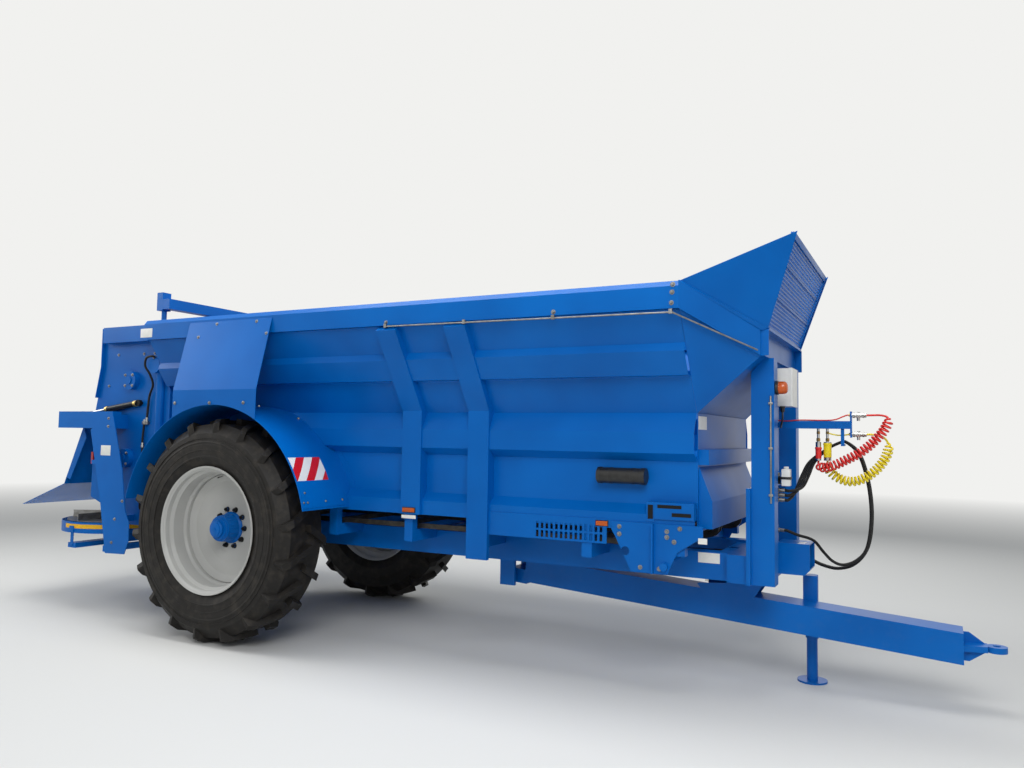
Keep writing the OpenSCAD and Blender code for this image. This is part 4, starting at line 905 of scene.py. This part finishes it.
# Folded strips that close the front hood's corners: from the corner rail up to the wing, and down
# to the wall
RAIL_TOP = 2.900
CORNER_STRIPS = [
    [(4.150, 1.296, RAIL_TOP - 0.008), (4.590, 0.786, 2.606), (4.632, 0.762, 2.622),
     (4.150, 1.270, RAIL_TOP + 0.006)],
    [(4.150, 1.262, 2.700), (4.566, 0.762, 2.412), (4.574, 0.786, 2.436), (4.150, 1.296, 2.726)]]
shape = bmesh.new()
for side in SIDES:
    for strip in CORNER_STRIPS:
        rings(shape, [[at(x, side * (y + out), z) for x, y, z in strip] for out in (0, 0.003)])
add_piece(shape, "corner_strips", PAINT)

# Folded channel across the front wall, just above the cover of the front shaft
shape = bmesh.new()
block(shape, (4.150, -0.800, 1.662), (4.230, 0.800, 1.772))
add_piece(shape, "front_wall_channel", PAINT, bevel=0.004)

# Screen of the front hood: perforated sheet in its folded frame, in place of the plain one
SCREEN_FOOT = (4.606, 2.6296)
SCREEN_LEAN = math.radians(18.58)
SCREEN_H = 0.6637
SCREEN_HALF = (0.767, 0.861)
SCREEN_T = 0.004
HOLE_COLUMNS = 68
HOLE_ROWS = 27
HOLE_SHARE = 0.66


def on_screen(across, up, out):
    """A place on the screen: across it, up it, and out of its back face."""
    return at(SCREEN_FOOT[0] + up * math.sin(SCREEN_LEAN) + out * math.cos(SCREEN_LEAN), across,
              SCREEN_FOOT[1] + up * math.cos(SCREEN_LEAN) - out * math.sin(SCREEN_LEAN))


def screen_half(up):
    return SCREEN_HALF[0] + (SCREEN_HALF[1] - SCREEN_HALF[0]) * up / SCREEN_H


def perforated_sheet():
    """Cells side by side, each a square ring of sheet round its hole."""
    places = []
    faces = []
    for row in range(HOLE_ROWS):
        low, high = SCREEN_H * row / HOLE_ROWS, SCREEN_H * (row + 1) / HOLE_ROWS
        margin = (1 - HOLE_SHARE) / 2
        for column in range(HOLE_COLUMNS):
            def cell(u, v, out):
                up = low + (high - low) * v
                return on_screen(screen_half(up) * (2 * (column + u) / HOLE_COLUMNS - 1), up, out)
            start = len(places)
            edge = ((0, 0), (1, 0), (1, 1), (0, 1))
            hole = [(margin + HOLE_SHARE * u, margin + HOLE_SHARE * v) for u, v in edge]
            for out in (0, SCREEN_T):
                places += [cell(u, v, out) for u, v in edge] + [cell(u, v, out) for u, v in hole]
            for k in range(4):
                m = (k + 1) % 4
                faces.append([start + i for i in (k, k + 4, m + 4, m)])
                faces.append([start + 8 + i for i in (k, m, m + 4, k + 4)])
                faces.append([start + i for i in (k + 4, k + 12, m + 12, m + 4)])
    return places, faces


mesh = bpy.data.meshes.new("screen_sheet")
places, faces = perforated_sheet()
mesh.from_pydata(places, [], faces)
finish_mesh(mesh, PAINT)
sheet = bpy.data.objects.new("screen_sheet", mesh)
bpy.context.scene.collection.objects.link(sheet)
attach(sheet, "root")
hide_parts("hood_screen")
shape = bmesh.new()


def screen_strip(corners, low, high):
    """A strip of the frame on four places (across, up) of the screen."""
    rings(shape, [[on_screen(a, u, out) for a, u in corners] for out in (low, high)])


for side in SIDES:
    screen_strip([(side * screen_half(0), 0), (side * screen_half(SCREEN_H), SCREEN_H),
                  (side * (screen_half(SCREEN_H) - 0.028), SCREEN_H), (side * (screen_half(0) - 0.028), 0)],
                 -0.002, 0.012)
screen_strip([(-0.766, 0), (0.766, 0), (0.766, 0.026), (-0.766, 0.026)], -0.002, 0.010)
screen_strip([(-0.845, SCREEN_H - 0.038), (0.845, SCREEN_H - 0.038), (0.845, SCREEN_H), (-0.845, SCREEN_H)],
             -0.018, 0.014)
for up in (0.215, 0.440):
    half = screen_half(up) - 0.02
    screen_strip([(-half, up), (half, up), (half, up + 0.014), (-half, up + 0.014)], -0.003, 0.009)
add_piece(shape, "screen_frame", PAINT, bevel=0.001)


# Stage
def seen_share(tree):
    """1 for rays that show the backdrop: from the camera, in a reflection, or through glass."""
    path = add_node(tree, "ShaderNodeLightPath").outputs
    either = add_node(tree, "ShaderNodeMath", {0: path["Is Camera Ray"], 1: path["Is Glossy Ray"]},
                      operation="MAXIMUM").outputs[0]
    return add_node(tree, "ShaderNodeMath", {0: either, 1: path["Is Transmission Ray"]},
                    operation="MAXIMUM").outputs[0]


def make_stage():
    floor_material, tree = new_material("studio_floor")
    place = add_node(tree, "ShaderNodeTexCoord").outputs["Object"]
    reach = add_node(tree, "ShaderNodeVectorMath", {0: place}, operation="LENGTH").outputs["Value"]
    far = spread(tree, reach, 12.0, 26.0)
    near_floor = add_node(tree, "ShaderNodeBsdfDiffuse", {"Color": colour("#d9d9d6")})
    haze = add_node(tree, "ShaderNodeEmission", {"Color": colour("#f1f1ef"), "Strength": 1.0})
    share = add_node(tree, "ShaderNodeMath", {0: far, 1: seen_share(tree)}, operation="MULTIPLY").outputs[0]
    both = add_node(tree, "ShaderNodeMixShader", {0: share, 1: near_floor.outputs[0], 2: haze.outputs[0]})
    add_node(tree, "ShaderNodeOutputMaterial", {"Surface": both.outputs[0]})
    bpy.ops.mesh.primitive_plane_add(size=160, location=(0, 0, 0))
    floor = bpy.context.object
    floor.name = "floor"
    floor.data.materials.append(floor_material)

    world = bpy.data.worlds.new("studio")
    bpy.context.scene.world = world
    world.use_nodes = True
    tree = world.node_tree
    tree.nodes.clear()
    background = add_node(tree, "ShaderNodeBackground", {"Color": colour("#f1f1ef"), "Strength": 1.0})
    light = add_node(tree, "ShaderNodeBackground", {"Color": colour("#e9edf2"), "Strength": 0.45})
    mix = add_node(tree, "ShaderNodeMixShader", {
        0: seen_share(tree), 1: light.outputs[0], 2: background.outputs[0]})
    add_node(tree, "ShaderNodeOutputWorld", {"Surface": mix.outputs[0]})


# Soft boxes: name, place, what it faces, size, power
SOFT_BOXES = [
    ("key_light", at(6.5, -7.5, 6.5), at(1.5, 0, 1.2), (5, 3.5), 420),
    ("overhead_light", at(1.5, -1.5, 8.0), at(1.5, -0.3, 1.0), (9, 3), 420),
    ("rear_light", at(-7.0, -3.5, 5.0), at(-1.0, 0, 1.2), (4, 3), 170),
    ("far_light", at(1.0, 8.5, 6.0), at(1.0, 0, 1.2), (8, 3), 240),
]


def make_lights():
    for name, place, target, size, power in SOFT_BOXES:
        data = bpy.data.lights.new(name, "AREA")
        data.shape = "RECTANGLE"
        data.size, data.size_y = size
        data.energy = power
        lamp = bpy.data.objects.new(name, data)
        lamp.matrix_world = Matrix.Translation(place) @ (
            place - target).to_track_quat("Z", "Y").to_matrix().to_4x4()
        bpy.context.scene.collection.objects.link(lamp)


make_stage()
make_lights()
